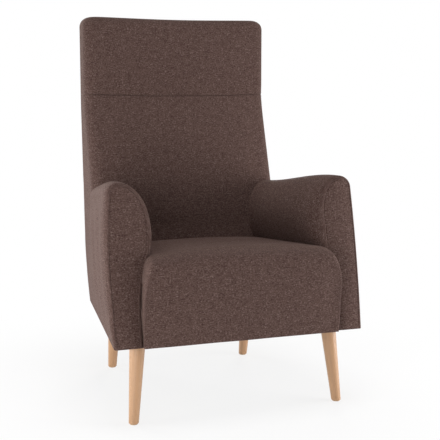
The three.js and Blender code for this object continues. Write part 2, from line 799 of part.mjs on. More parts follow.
function plateScrew() {
  const sides = roundSides / 2
  const middle = (plateBottomZ + plateTopZ) / 2
  const head = solid(bar(plateScrewHeadRadius, plateBottomZ - plateScrewHeadHeight, middle, sides))
  const shank = solid(bar(plateScrewRadius, middle, plateBottomZ + plateScrewLength - gap, sides))
  return surface(head.add(shank))
}

function glide() {
  const pad = solid(bar(glideRadius, 0, glideThickness))
  const pin = solid(bar(glidePinRadius, glideThickness / 2, glideThickness + glidePinLength, roundSides / 2))
  return surface(pad.add(pin))
}

// The threaded insert of a corner block, which a leg's bolt screws into
function insertNut() {
  const bore = solid(bar(boltRadius + gap, frameBottomZ - overrun, frameBottomZ + insertLength + overrun))
  return cut(solid(bar(insertRadius, frameBottomZ, frameBottomZ + insertLength)), bore)
}

function addLeg(corner) {
  add(corner.word + '_leg', surface(leg(corner)), colours.beech, corner.foot)
  add(corner.word + '_leg_plate', surface(legPlate()), colours.steel, corner.top)
  const bolt = bar(boltRadius, legTopZ - boltLegDepth, frameBottomZ + boltBlockDepth)
  add(corner.word + '_leg_bolt', bolt, colours.steel, corner.top)
  add(corner.word + '_insert_nut', surface(insertNut()), colours.steel, corner.top)
  add(corner.word + '_glide', glide(), colours.nylon, corner.foot)
  add(corner.word + '_corner_block', surface(cornerBlock(corner)), colours.timber)
}

// Frame, webbing and lining

function addFrame() {
  add('front_rail', surface(frontRail()), colours.timber)
  const rear = (z) => rearY(z) - frameInset - boardThickness
  add('rear_rail', surface(crossRail(frameBottomZ, railTopZ, rear)), colours.timber)
  const lumbarTop = lumbarRailHeight + crossRailHeight
  add('lumbar_rail', surface(crossRail(lumbarRailHeight, lumbarTop, postFrontY)), colours.timber)
  const bendBottom = bendHeight - crossRailHeight
  add('headrest_rail', surface(crossRail(bendBottom, bendHeight, postFrontY)), colours.timber)
  add('top_back_rail', surface(crossRail(postTopZ - crossRailHeight, postTopZ, postFrontY)), colours.timber)
  for (const [word, side] of [['left', 1], ['right', -1]]) {
    const panelTool = panelTools[side > 0 ? 0 : 1]
    add(word + '_side_rail', surface(cut(sideRail(side), panelTool)), colours.timber)
    add(word + '_back_post', surface(cut(backPost(side), panelTool)), colours.timber)
    add(word + '_arm_post', surface(cut(armPost(side), panelTool, armRail(side, gap))), colours.timber)
    add(word + '_arm_rail', surface(cut(armRail(side), panelTool)), colours.timber)
    const board = cut(armBoard(side), armPost(side, gap), armRail(side, gap))
    add(word + '_arm_board', surface(board), colours.board)
  }
}

const joined = (pieces) => pieces.reduce((whole, piece) => whole.add(piece))

// Interlaced straps over the seat frame, joined where they cross
function seatWebbing() {
  const reachX = postOuterX(railTopZ) - 2 * boardThickness
  const front = frontRailY + boardThickness / 4
  const rear = rearY(railTopZ) - frameInset - boardThickness / 4
  const bottom = railTopZ + gap
  const half = webbingWidth / 2
  const strap = (low, high) => solid(block([...low, bottom], [...high, bottom + webbingThickness]))
  const lengthwise = steps(seatStrapCount - 1, (t) => {
    const x = mix(half - reachX, reachX - half, t)
    return strap([x - half, front], [x + half, rear])
  })
  const postRear = armPostFrontY(railTopZ) + armPostDepth
  const crosswise = steps(seatStrapCount - 2, (t) => {
    const y = mix(postRear + half + boardThickness, postFrontY(railTopZ) - half - boardThickness, t)
    const x = railOuterX(y + half) - boardThickness / 4
    return strap([-x, y - half], [x, y + half])
  })
  return joined([...lengthwise, ...crosswise])
}

// Interlaced straps over the front of the back frame, joined where they cross
function backWebbing() {
  const strap = (bottom, top, from, to) => stacked([bottom, top], (z) => {
    const y = postFrontY(z) - gap
    return [[from, y - webbingThickness], [to, y - webbingThickness], [to, y], [from, y]]
  })
  const low = lumbarRailHeight + crossRailHeight / 4
  const high = bendHeight - crossRailHeight / 4
  const reachX = postOuterX(low) - boardThickness / 4
  const crosswise = steps(backStrapCount - 1, (t) => {
    const bottom = mix(low, high - webbingWidth, t)
    return strap(bottom, bottom + webbingWidth, -reachX, reachX)
  })
  const half = webbingWidth / 2
  const upright = steps(backStrapCount - 2, (t) => {
    const x = mix(boardThickness + half - reachX, reachX - boardThickness - half, t)
    return strap(low, high, x - half, x + half)
  })
  return cut(joined([...crosswise, ...upright]), armRail(1, gap), armRail(-1, gap))
}

function addWebbing() {
  add('seat_webbing', surface(seatWebbing()), colours.webbing)
  add('back_webbing', surface(backWebbing()), colours.webbing)
}

function addDustCover() {
  const front = armFootY + dustCoverMargin
  const rear = rearFootY - dustCoverMargin
  const ends = [front, rear].map((y) => [bodyHalf(y, undersideHeight) - dustCoverMargin, y])
  const outline = [...ends, ...ends.map(([x, y]) => [-x, y]).reverse()]
  const sheet = stacked([frameBottomZ - gap - dustCoverThickness, frameBottomZ - gap], () => outline)
  const reach = legPlateSize / 2 + gap
  const cutouts = corners.map(({ top }) => {
    return solid(block([-reach, -reach, -overrun], [reach, reach, overallHeight]).translate(...top))
  })
  add('dust_cover', surface(cut(sheet, ...cutouts)), colours.lining)
}

addFrame()
addWebbing()
addDustCover()
corners.forEach(addLeg)
addSeatSoftPieces()
addBackSoftPieces()
addArmSoftPieces(1, 'left')
addArmSoftPieces(-1, 'right')

export default chair
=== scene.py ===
import math

import bmesh
import bpy
import numpy as np
from bpy.props import FloatProperty, FloatVectorProperty, IntProperty, PointerProperty
from bpy.types import Operator, Panel, PropertyGroup
from mathutils import Euler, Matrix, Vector


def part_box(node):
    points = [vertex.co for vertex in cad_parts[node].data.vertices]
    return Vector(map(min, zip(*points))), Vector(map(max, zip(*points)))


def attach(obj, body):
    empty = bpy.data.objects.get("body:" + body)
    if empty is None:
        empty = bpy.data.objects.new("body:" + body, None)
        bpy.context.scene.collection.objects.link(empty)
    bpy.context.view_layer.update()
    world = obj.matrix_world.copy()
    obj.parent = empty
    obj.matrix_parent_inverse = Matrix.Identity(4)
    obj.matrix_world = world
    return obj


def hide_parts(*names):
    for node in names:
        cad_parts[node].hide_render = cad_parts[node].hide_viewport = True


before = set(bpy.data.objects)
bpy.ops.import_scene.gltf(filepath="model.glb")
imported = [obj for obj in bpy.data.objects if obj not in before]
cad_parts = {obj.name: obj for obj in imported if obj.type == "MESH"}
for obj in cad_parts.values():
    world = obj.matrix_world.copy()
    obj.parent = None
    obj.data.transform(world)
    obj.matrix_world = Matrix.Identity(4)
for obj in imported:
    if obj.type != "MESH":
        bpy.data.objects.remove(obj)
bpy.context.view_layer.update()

bl_info = {
    "name": "Fireside chair",
    "version": (1, 0, 0),
    "blender": (4, 5, 0),
    "location": "3D View > Sidebar > Chair",
    "description": "Upholstery, legs and finishes of a high-backed fireside chair",
    "category": "Object",
}

# Metres. The floor is z = 0, the chair faces -Y and x = 0 is its plane of symmetry.
SIDES = {"left": 1, "right": -1}
CORNERS = ("front_left", "front_right", "rear_left", "rear_right")
GAP = 0.0003  # between neighbouring solids
SEAT_TOUCH, ARM_TOUCH = 0.0006, 0.0005  # between a pad's hidden side and the back or an arm
MERGE = 0.00003  # points nearer than this are one
SHARP = math.radians(48)  # from this angle on an edge shows
RECLINE = math.radians(18.5)
ARM_STEEPER = 0.72
SEAM_WIDE, SEAM_NARROW = 0.022, 0.0024
OFFSET_IN, OFFSET_OUT = (0.3, 0.36), (0.44, 0.52)  # heights between which the seat's offset eases
TIMBER_SETBACK = 0.0107  # from an upholstered front to the timber behind it
ARM_RAIL_DROP, BOARD_INSET = 0.042, 0.0356  # below an arm's top, and in from its outer side
TOP_RAIL_DROP = 0.036


def length(name, description, millimetres):
    """A property for a length, written in millimetres and kept in metres."""
    return FloatProperty(
        name=name,
        description=description,
        default=millimetres / 1000,
        precision=4,
        subtype="DISTANCE",
        unit="LENGTH",
    )


def colour(name, description, red, green, blue):
    """A property for a colour, written as it looks on a screen from 0 to 255 and kept linear."""
    return FloatVectorProperty(
        name=name,
        description=description,
        default=[linear(value) for value in (red, green, blue)],
        min=0,
        max=1,
        size=3,
        subtype="COLOR",
    )


def linear(value):
    """A screen value from 0 to 255 as linear light from 0 to 1."""
    share = value / 255
    return share / 12.92 if share <= 0.04045 else ((share + 0.055) / 1.055) ** 2.4


class ChairSizes(PropertyGroup):
    """Sizes of the whole chair."""

    overall_height: length("Height", "Height of the top of the back", 1080)
    overall_depth: length("Depth", "From the seat's front to the back's rear", 676)
    underside: length("Underside", "Height of the upholstery's lower edge", 210)
    front_half_width: length("Front half width", "From the middle to an arm's outer front foot", 349)
    rear_half_width: length("Rear half width", "From the middle to the outer rear foot", 279)
    side_lean: length("Side lean", "How far the sides lean out towards the arms' shoulders", 11)
    side_swell_front: length("Front swell", "Swell of the sides at their front", 12)
    side_swell_rear: length("Rear swell", "Swell of the sides at their rear", 6)
    side_meet: length("Meeting length", "Length over which an arm draws in to the back", 120)
    arm_height: length("Arm height", "Height of an arm's top at its front", 626)
    arm_drop: length("Arm drop", "How far an arm's top sweeps down to the back", 46)
    arm_setback: length("Arm setback", "From the seat's front to an arm's front foot", 20)
    arm_lean: length("Arm lean", "How far an arm's front leans rearwards", 84)
    arm_foot: length("Arm thickness", "Thickness of an arm below the seat", 76.5)
    arm_shoulder_width: length("Shoulder width", "From an arm's ridge to its outer side", 35)
    arm_shoulder_height: length("Shoulder height", "From an arm's side panel to its ridge", 34)
    arm_inner_width: length("Inner width", "From an arm's ridge to its inner bulge", 88)
    arm_inner_height: length("Inner height", "From an arm's inner bulge to its ridge", 132)
    arm_waist: length("Waist height", "Height where an arm's inner side is upright", 330)
    arm_run_in: length("Run in", "How far an arm runs beside the back", 42)
    back_half_width: length("Back half width", "From the middle to the back's side", 289.5)
    headrest_thickness: length("Headrest thickness", "Thickness of the back at the headrest", 88)
    headrest_height: length("Headrest height", "From the seam to the top of the back", 232)
    bend_below_seam: length("Bend below seam", "From the seam down to the bend in the back", 28)
    bend_softness: length("Bend softness", "How soft the bend in the back is", 24)
    rear_lean: length("Rear lean", "How far the back's rear leans in towards its foot", 41)
    seat_front_height: length("Seat front", "Height of the seat at its front", 446)
    seat_rear_height: length("Seat rear", "Height to which the seat falls over its run", 414)
    seat_run: length("Seat run", "Length over which the seat falls, behind its rolled edge", 480)
    deck_height: length("Deck", "Height of the webbing's top, where the seat padding starts", 305.6)


class SoftSizes(PropertyGroup):
    """Sizes of the padding, its seams and its panels."""

    seat_crown: length("Seat crown", "How far the middle of the seat stands up", 10)
    seat_roll_depth: length("Roll depth", "Depth of the seat's rolled front edge", 75)
    seat_roll_height: length("Roll height", "Height of the seat's rolled front edge", 42)
    seat_front_draw: length("Front draw", "How far the seat's front foot is drawn back", 8)
    seat_corner_width: length("Corner width", "Width of the seat's rounded side", 26)
    seat_corner_drop: length("Corner drop", "Height of the seat's rounded side", 66)
    seat_edge: length("Seat edge", "Radius of the seat's upright front edges", 5)
    crease: length("Crease", "How far padding dips where it meets its neighbour", 2)
    arm_edge: length("Arm edge", "Radius of an arm's sewn front edge", 8)
    left_outer_width: length("Left edge width", "Width of the left arm's rounded outer edge", 6)
    left_outer_depth: length("Left edge depth", "Depth of the left arm's rounded outer edge", 8)
    left_inner_edge: length("Left inner edge", "Radius of the left arm's inner edge", 36)
    right_outer_width: length("Right edge width", "Width of the right arm's rounded outer edge", 14)
    right_outer_depth: length("Right edge depth", "Depth of the right arm's rounded outer edge", 42)
    right_inner_edge: length("Right inner edge", "Radius of the right arm's inner edge", 12)
    seat_offset: length("Seat offset", "How far the seat was set to the sitter's left", 3)
    arm_facing_crown: length("Facing crown", "How far the middle of an arm's front stands out", 2.5)
    facing_seam: length("Facing seam", "Depth of the seam round an arm's front", 1.4)
    back_corner: length("Back corner", "Radius of the back's front corners", 40)
    back_rear_corner: length("Rear corner", "Radius of the back's rear corners", 11)
    back_top: length("Back top", "Radius of the back's top edge", 29)
    back_dip: length("Back dip", "How far the middle of the back's top edge dips", 4)
    back_crown: length("Back crown", "How far the middle of the back stands out", 12)
    seam_pull: length("Seam pull", "How far the padding is drawn in round the headrest's seam", 2.8)
    seam_groove: length("Seam groove", "Depth of the headrest's seam itself", 2.8)
    seam_sag: length("Seam sag", "How far the middle of the headrest's seam hangs", 4)
    panel_thickness: length("Panel thickness", "Thickness of the cloth and wadding on the sides", 3)
    panel_ripple: length("Panel ripple", "Height of the soft upright waves in the sides", 5)
    ripple_pitch: length("Ripple pitch", "From one soft wave in the sides to the next", 135)
    rear_strip: length("Rear strip", "Width of the cloth that turns round the rear edge", 8)
    rear_strip_cut: length("Strip cut", "How far a side panel's rear edge curves forward", 95)
    rear_strip_start: length("Strip start", "Height where that curve starts", 360)
    outside_back: length("Outside back", "Thickness of the panel behind the back", 5)
    softness: length("Softness", "Height of the faint unevenness of the padding", 0.8)


class LegSizes(PropertyGroup):
    """Sizes of the turned legs."""

    top_radius: length("Top radius", "Radius of a leg at its plate", 21)
    foot_radius: length("Foot radius", "Radius of a leg at its foot", 13.2)
    foot_round: length("Foot rounding", "Rounding of a leg's lower edge", 1.6)
    sides: IntProperty(name="Sides", description="Facets round a leg", default=56, min=12)


class ChairColours(PropertyGroup):
    """Colours of the chair's finishes."""

    yarn_dark: colour("Dark yarn", "Darkest yarn of the cloth", 62, 42, 37)
    yarn: colour("Yarn", "Main yarn of the cloth", 99, 77, 71)
    yarn_light: colour("Light yarn", "Lightest yarn of the cloth", 143, 126, 119)
    beech: colour("Beech", "Clear varnished beech of the legs", 192, 149, 111)
    timber: colour("Timber", "Bare timber of the frame", 200, 168, 120)
    board: colour("Fibreboard", "Board inside the arms", 138, 106, 72)
    webbing: colour("Webbing", "Elastic straps", 43, 38, 34)
    lining: colour("Lining", "Dust cover under the seat", 29, 28, 28)
    steel: colour("Steel", "Zinc plated steel", 169, 172, 174)
    nylon: colour("Nylon", "Glides under the legs", 205, 181, 148)
    foam: colour("Foam", "Cut foam inside the pads", 216.46, 206.41, 173.39)


# Shape helpers


def mix(a, b, share):
    """The value a plus share of the way to b."""
    return a + (b - a) * share


def ease(value, low, high):
    """3 t^2 - 2 t^3 with t the share of the way from low to high, kept from 0 to 1."""
    t = np.clip((value - low) / (high - low), 0, 1)
    return t * t * (3 - 2 * t)


def bell(value, width):
    """e to the power of minus the square of value over width."""
    return np.exp(-((value / width) ** 2))


def arc(points, axis):
    """Distance along the rows or columns of a grid of points, from its first row or column."""
    steps = np.linalg.norm(np.diff(points, axis=axis), axis=-1)
    start = np.zeros_like(np.take(steps, [0], axis=axis))
    return np.cumsum(np.concatenate([start, steps], axis=axis), axis=axis)


def uneven(u, v, seed, pitch):
    """A sum of eight sine waves in random directions, from about -1 to 1, as uneven padding has."""
    random = np.random.default_rng(seed)
    total = 0
    for turn, phase, stretch in random.uniform(size=(8, 3)):
        angle = turn * math.pi
        wave = 2 * math.pi / (pitch * (0.6 + stretch))
        total = total + np.sin(wave * (u * math.cos(angle) + v * math.sin(angle)) + phase * 2 * math.pi)
    return total / 4


def spread(*stops):
    """Numbers from 0 to 1 in several even runs: each stop is (end, steps) of one run."""
    runs, start = [np.zeros(1)], 0
    for end, steps in stops:
        runs.append(start + (end - start) * np.arange(1, steps + 1) / steps)
        start = end
    return np.concatenate(runs)


def quarter(steps):
    """Angles from 0 to a quarter turn in even steps."""
    return spread((1, steps)) * math.pi / 2


def edge_inset(behind, width, depth):
    """How far a quarter ellipse of this width and depth is drawn in at each distance behind its
    front: w (1 - sqrt(1 - (1 - b / d)^2))."""
    return width * (1 - np.sqrt(1 - np.clip(1 - behind / depth, 0, 1) ** 2))


def add_object(name, data):
    """A new object in the scene."""
    made = bpy.data.objects.new(name, data)
    bpy.context.scene.collection.objects.link(made)
    return made


def read_points(mesh):
    """A mesh's points as rows of x, y and z."""
    values = np.empty(len(mesh.vertices) * 3)
    mesh.vertices.foreach_get("co", values)
    return values.reshape(-1, 3)


class Form:
    """The outside of the chair as formulas of depth y and height z, all in metres."""

    def __init__(self, scene):
        self.size, self.soft = scene.chair_sizes, scene.chair_soft
        s = self.size
        self.front_y, self.back_y = -s.overall_depth / 2, s.overall_depth / 2
        self.foot_y = self.front_y + s.arm_setback
        self.rear_foot_y = self.back_y - s.rear_lean
        self.shoulder_z = s.arm_height - s.arm_shoulder_height
        self.taper = (s.front_half_width - s.rear_half_width) / (self.rear_foot_y - self.foot_y)
        self.seam_z = s.overall_height - s.headrest_height
        self.bend_z = self.seam_z - s.bend_below_seam
        self.recline = math.tan(RECLINE)
        self.arm_start = self.arm_front(s.arm_height)
        self.arm_end = self.face(s.arm_height - s.arm_drop) + s.arm_run_in
        self.seat_half = s.front_half_width - s.arm_foot

    def body_half(self, y, z):
        """Half the body's width: tapered rearwards, leaning out by the height's share, swollen by
        4 t (1 - t), and eased to the back's own half width where an arm meets the back."""
        s = self.size
        along = (y - self.foot_y) / (self.rear_foot_y - self.foot_y)
        up = np.clip((z - s.underside) / (self.shoulder_z - s.underside), 0, 1)
        swell = 4 * mix(s.side_swell_front, s.side_swell_rear, along) * up * (1 - up)
        straight = s.front_half_width - self.taper * (y - self.foot_y) + s.side_lean * up + swell
        flush = np.minimum(straight, s.back_half_width + 0.002)
        return mix(straight, flush, up * ease(y, self.arm_end - s.side_meet, self.arm_end))

    def rear(self, z):
        """The back's rear: upright above the bend, and leaning in evenly below it."""
        s = self.size
        down = np.clip((self.bend_z - z) / (self.bend_z - s.underside), 0, 1)
        return self.back_y - s.rear_lean * down

    def face(self, z):
        """The back's front: upright at the headrest, reclined below a bend softened as a hyperbola."""
        s = self.size
        below = self.bend_z - z
        eased = (below + np.hypot(below, s.bend_softness)) / 2
        return self.back_y - s.headrest_thickness - self.recline * eased

    def arm_front(self, z):
        """An arm's front: the lean times t (1 + 0.72 (1 - t)), so steeper towards the top."""
        s = self.size
        up = np.clip((z - s.underside) / (s.arm_height - s.underside), 0, 1)
        return self.foot_y + s.arm_lean * up * (1 + ARM_STEEPER * (1 - up))

    def arm_top(self, y):
        """An arm's ridge, eased down to the back."""
        s = self.size
        return s.arm_height - s.arm_drop * ease(y, self.arm_start, self.arm_end)

    def back_half(self, y, z):
        """Half the back's width: its own above the arms, and within the body's below them."""
        s = self.size
        free = ease(z, self.shoulder_z - s.arm_drop, self.shoulder_z)
        return mix(np.minimum(s.back_half_width, self.body_half(y, z)), s.back_half_width, free)

    def panel_rear(self, z):
        """A side panel's rear edge, which curves forward with the square of the height's share."""
        s, soft = self.size, self.soft
        low = soft.rear_strip_start
        up = np.clip((z - low) / (self.shoulder_z - s.arm_drop - low), 0, 1)
        return self.rear(z) - soft.rear_strip - soft.rear_strip_cut * up * up

    def rebate(self, y, z):
        """How far the padding is drawn in under a side panel: eased to nothing at its edges."""
        s, soft = self.size, self.soft
        edge = 0.006
        top = ease(self.arm_top(y) - s.arm_shoulder_height - z, 0, edge)
        front = ease(y - self.arm_front(z) - soft.arm_edge, 0, edge)
        rear = ease(self.panel_rear(z) - y, 0, edge)
        return (soft.panel_thickness + GAP) * top * front * rear

    def side_edge(self, side, y, z):
        """How far a side is drawn in behind an arm's front: a quarter ellipse that is only as wide
        as the sewn edge at the foot, and has its own width from 120 mm above it."""
        s, soft = self.size, self.soft
        word = "left" if side > 0 else "right"
        rise = ease(z, s.underside + 0.01, s.underside + 0.12)
        width = mix(soft.arm_edge, getattr(soft, word + "_outer_width"), rise)
        depth = mix(soft.arm_edge, getattr(soft, word + "_outer_depth"), rise)
        return edge_inset(y - self.arm_front(z), width, depth)

    def offset(self, z):
        """How far the seat and the arms beside it sit to the left, from a hand's breadth above
        the underside up to the seat's top."""
        return self.soft.seat_offset * ease(z, *OFFSET_IN) * (1 - ease(z, *OFFSET_OUT))

    def crown(self, z):
        """How far the middle of the back stands out: a quarter sine down from the top."""
        s, soft = self.size, self.soft
        down = np.clip((s.overall_height - z) / s.headrest_height, 0, 0.5)
        return soft.back_crown * np.sin(down * math.pi)

    def seam(self, z):
        """How far the back's front is drawn in at the seam: a wide bell and a narrow one."""
        soft = self.soft
        off = z - self.seam_z
        return soft.seam_pull * bell(off, SEAM_WIDE) + soft.seam_groove * bell(off, SEAM_NARROW)

    def back_limit(self, x, z):
        """The depth of the back's front at (x, z): crowned, with a quarter circle at its corner, and
        none beside it."""
        soft = self.soft
        front, radius = self.face(z), soft.back_corner
        half = self.back_half(front + radius, z)
        flat = half - radius
        across = np.abs(x)
        bulge = (self.crown(z) - self.seam(z)) * (1 - np.clip(across / flat, 0, 1) ** 2)
        corner = edge_inset(half - across, radius, radius)
        return np.where(across < half, front - bulge + corner, 1.0)

    def arm_marks(self, y):
        """Places in an arm's section: top, shoulder, ridge, waist, and the bulge's x and z."""
        s = self.size
        top = self.arm_top(y)
        shoulder = top - s.arm_shoulder_height
        ridge = self.body_half(y, shoulder) - s.arm_shoulder_width
        waist = s.front_half_width - self.taper * (y - self.foot_y) - s.arm_foot
        return top, shoulder, ridge, waist, ridge - s.arm_inner_width, top - s.arm_inner_height

    def arm_inner(self, y, z):
        """An arm's inner side at (y, z): half a cosine wave from the bulge down to the waist."""
        _, _, _, waist, bulge, bulge_z = self.arm_marks(y)
        down = np.clip((bulge_z - z) / (bulge_z - self.size.arm_waist), 0, 1)
        return mix(bulge, waist, (1 - np.cos(down * math.pi)) / 2)


class Skin:
    """A closed mesh gathered from grids of points, with a map of the cloth in metres."""

    def __init__(self):
        self.points, self.faces, self.cloth, self.count = [], [], [], 0

    def patch(self, points, cloth=None):
        """Adds a grid of quads. Its cloth map is the distance along its columns and rows."""
        rows, columns = points.shape[:2]
        if cloth is None:
            cloth = np.stack([arc(points, 1), arc(points, 0)], -1)
        index = np.arange(rows * columns).reshape(rows, columns)
        quads = [index[:-1, :-1], index[:-1, 1:], index[1:, 1:], index[1:, :-1]]
        quads = np.stack(quads, -1).reshape(-1, 4)
        self.points.append(points.reshape(-1, 3))
        self.faces.append(quads + self.count)
        self.cloth.append(cloth.reshape(-1, 2)[quads])
        self.count += rows * columns

    def mirror(self, points, cloth=None):
        """Adds a grid and its mirror image in the chair's plane of symmetry."""
        if cloth is None:
            cloth = np.stack([arc(points, 1), arc(points, 0)], -1)
        self.patch(points, cloth)
        self.patch(points * [-1, 1, 1], cloth * [-1, 1])

    def slab(self, outer, inner, flat):
        """Adds two grids with one cloth map, and closes their four sides."""
        self.patch(outer, flat)
        self.patch(inner, flat)
        for end in (0, -1):
            self.patch(np.stack([outer[end], inner[end]]))
            self.patch(np.stack([outer[:, end], inner[:, end]]))

    def object(self, name):
        """The mesh as an object, with its doubles merged and its faces turned outwards."""
        points, faces = np.concatenate(self.points), np.concatenate(self.faces)
        mesh = bpy.data.meshes.new(name)
        mesh.vertices.add(len(points))
        mesh.vertices.foreach_set("co", points.ravel())
        mesh.loops.add(faces.size)
        mesh.loops.foreach_set("vertex_index", faces.ravel())
        mesh.polygons.add(len(faces))
        mesh.polygons.foreach_set("loop_start", np.arange(len(faces)) * 4)
        mesh.update(calc_edges=True)
        layer = mesh.uv_layers.new(name="cloth")
        layer.data.foreach_set("uv", np.concatenate(self.cloth).ravel())
        shell = bmesh.new()
        shell.from_mesh(mesh)
        bmesh.ops.remove_doubles(shell, verts=shell.verts, dist=MERGE)
        bmesh.ops.recalc_face_normals(shell, faces=shell.faces)
        loose = sum(len(edge.link_faces) != 2 for edge in shell.edges)
        shell.to_mesh(mesh)
        shell.free()
        if loose:
            raise RuntimeError(name + " has " + str(loose) + " open or crowded edges")
        mesh.polygons.foreach_set("use_smooth", np.ones(len(mesh.polygons), dtype=bool))
        mesh.set_sharp_from_angle(angle=SHARP)
        return add_object(name, mesh)


PRESSURE, FRAMES = 4, 20


def swell(piece, free, reach):
    """Blows a pad up with Blender's Cloth, at pressure 4 with no gravity, over twenty frames. free
    is 0 where a point is held, up to 1 where it moves freely, and reach is the most that a point
    may move. The movement is written into the mesh and the Cloth is taken off."""
    mesh = piece.data
    before = read_points(mesh)
    share = free(*before.T)
    held = piece.vertex_groups.new(name="held")
    held.add(np.flatnonzero(share < 0.01).tolist(), 1, "REPLACE")
    cloth = piece.modifiers.new("swell", "CLOTH")
    cloth.settings.vertex_group_mass = held.name
    cloth.settings.use_pressure = True
    cloth.settings.uniform_pressure_force = PRESSURE
    cloth.settings.effector_weights.gravity = 0
    for number in range(1, FRAMES + 1):
        bpy.context.scene.frame_set(number)
    after = read_points(piece.evaluated_get(bpy.context.evaluated_depsgraph_get()).data)
    piece.modifiers.remove(cloth)
    piece.vertex_groups.remove(held)
    bpy.context.scene.frame_set(1)
    move = (after - before) * share[:, None]
    far = np.linalg.norm(move, axis=1)
    move *= (np.minimum(far, reach) / np.maximum(far, 1e-9))[:, None]
    mesh.vertices.foreach_set("co", (before + move).ravel())
    mesh.update()


def settle(piece, slot, *nodes):
    """Gives a piece its material and slot, lets it ride, and lets it stand for its CAD nodes."""
    piece.data.materials.append(finish_for(slot))
    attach(piece, "root")
    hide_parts(*nodes)


# Material helpers


class Wire:
    """A node's output. Arithmetic on it adds Math nodes to its material."""

    def __init__(self, finish, socket):
        self.finish, self.socket = finish, socket

    def math(self, operation, *values):
        """A Math node of this wire and the values."""
        inputs = dict(enumerate((self, *values)))
        return self.finish.node("ShaderNodeMath", {"operation": operation}, inputs)

    def __add__(self, other):
        return self.math("ADD", other)

    def __sub__(self, other):
        return self.math("SUBTRACT", other)

    def __mul__(self, other):
        return self.math("MULTIPLY", other)

    def __pow__(self, other):
        return self.math("POWER", other)

    def __rsub__(self, other):
        return self.finish.node("ShaderNodeMath", {"operation": "SUBTRACT"}, {0: other, 1: self})

    __radd__ = __add__
    __rmul__ = __mul__


class Finish:
    """A material, or the world, that is built up from nodes."""

    def __init__(self, owner):
        owner.use_nodes = True
        self.owner, self.tree = owner, owner.node_tree
        self.tree.nodes.clear()

    def node(self, kind, settings=None, inputs=None, output=0):
        """Adds a node: first its settings, then the values or links of its sockets."""
        made = self.tree.nodes.new(kind)
        for name, value in (settings or {}).items():
            if name == "stops":
                self.fill_ramp(made.color_ramp, value)
            else:
                setattr(made, name, value)
        for name, value in (inputs or {}).items():
            if isinstance(value, Wire):
                self.tree.links.new(value.socket, made.inputs[name])
            else:
                made.inputs[name].default_value = value
        return Wire(self, made.outputs[output]) if made.outputs else made

    def fill_ramp(self, ramp, stops):
        """Sets a ramp's stops, each a place and a colour."""
        while len(ramp.elements) < len(stops):
            ramp.elements.new(1)
        for element, (place, shade) in zip(ramp.elements, stops):
            element.position = place
            element.color = shade

    def noise(self, vector, cells=None, detail=2, roughness=0.5):
        """Noise from 0 to 1 at so many cells a metre along each axis."""
        if cells:
            vector = self.stretch(vector, cells)
        inputs = {"Vector": vector, "Scale": 1.0, "Detail": detail, "Roughness": roughness}
        return self.node("ShaderNodeTexNoise", {}, inputs)

    def stretch(self, vector, scale):
        """A vector scaled along each axis."""
        return self.node("ShaderNodeVectorMath", {"operation": "MULTIPLY"}, {0: vector, 1: scale})

    def blend(self, share, first, second, kind="MIX"):
        """Two colours mixed by a share."""
        settings = {"data_type": "RGBA", "blend_type": kind, "clamp_result": True}
        return self.node("ShaderNodeMix", settings, {"Factor": share, 6: first, 7: second}, 2)

    def bump(self, height, distance, strength=1.0):
        """A normal raised by height times distance in metres."""
        inputs = {"Height": height, "Distance": distance, "Strength": strength}
        return self.node("ShaderNodeBump", {}, inputs)

    def surface(self, **sockets):
        """The shader and the output, with the shader's sockets named as words with underscores."""
        inputs = {name.replace("_", " "): value for name, value in sockets.items()}
        shader = self.node("ShaderNodeBsdfPrincipled", {}, inputs)
        self.node("ShaderNodeOutputMaterial", {}, {"Surface": shader})
        return self.owner

    def seen(self):
        """1 for the camera and in gloss and glass, and 0 for the light on the chair."""
        seen = self.node("ShaderNodeLightPath")
        outputs = seen.socket.node.outputs
        for name in ("Is Glossy Ray", "Is Transmission Ray"):
            seen = seen.math("MAXIMUM", Wire(self, outputs[name]))
        return seen


def rgba(shade, level=1.0):
    """A colour with full alpha, lightened or darkened by a level."""
    return [min(value * level, 1) for value in shade] + [1]


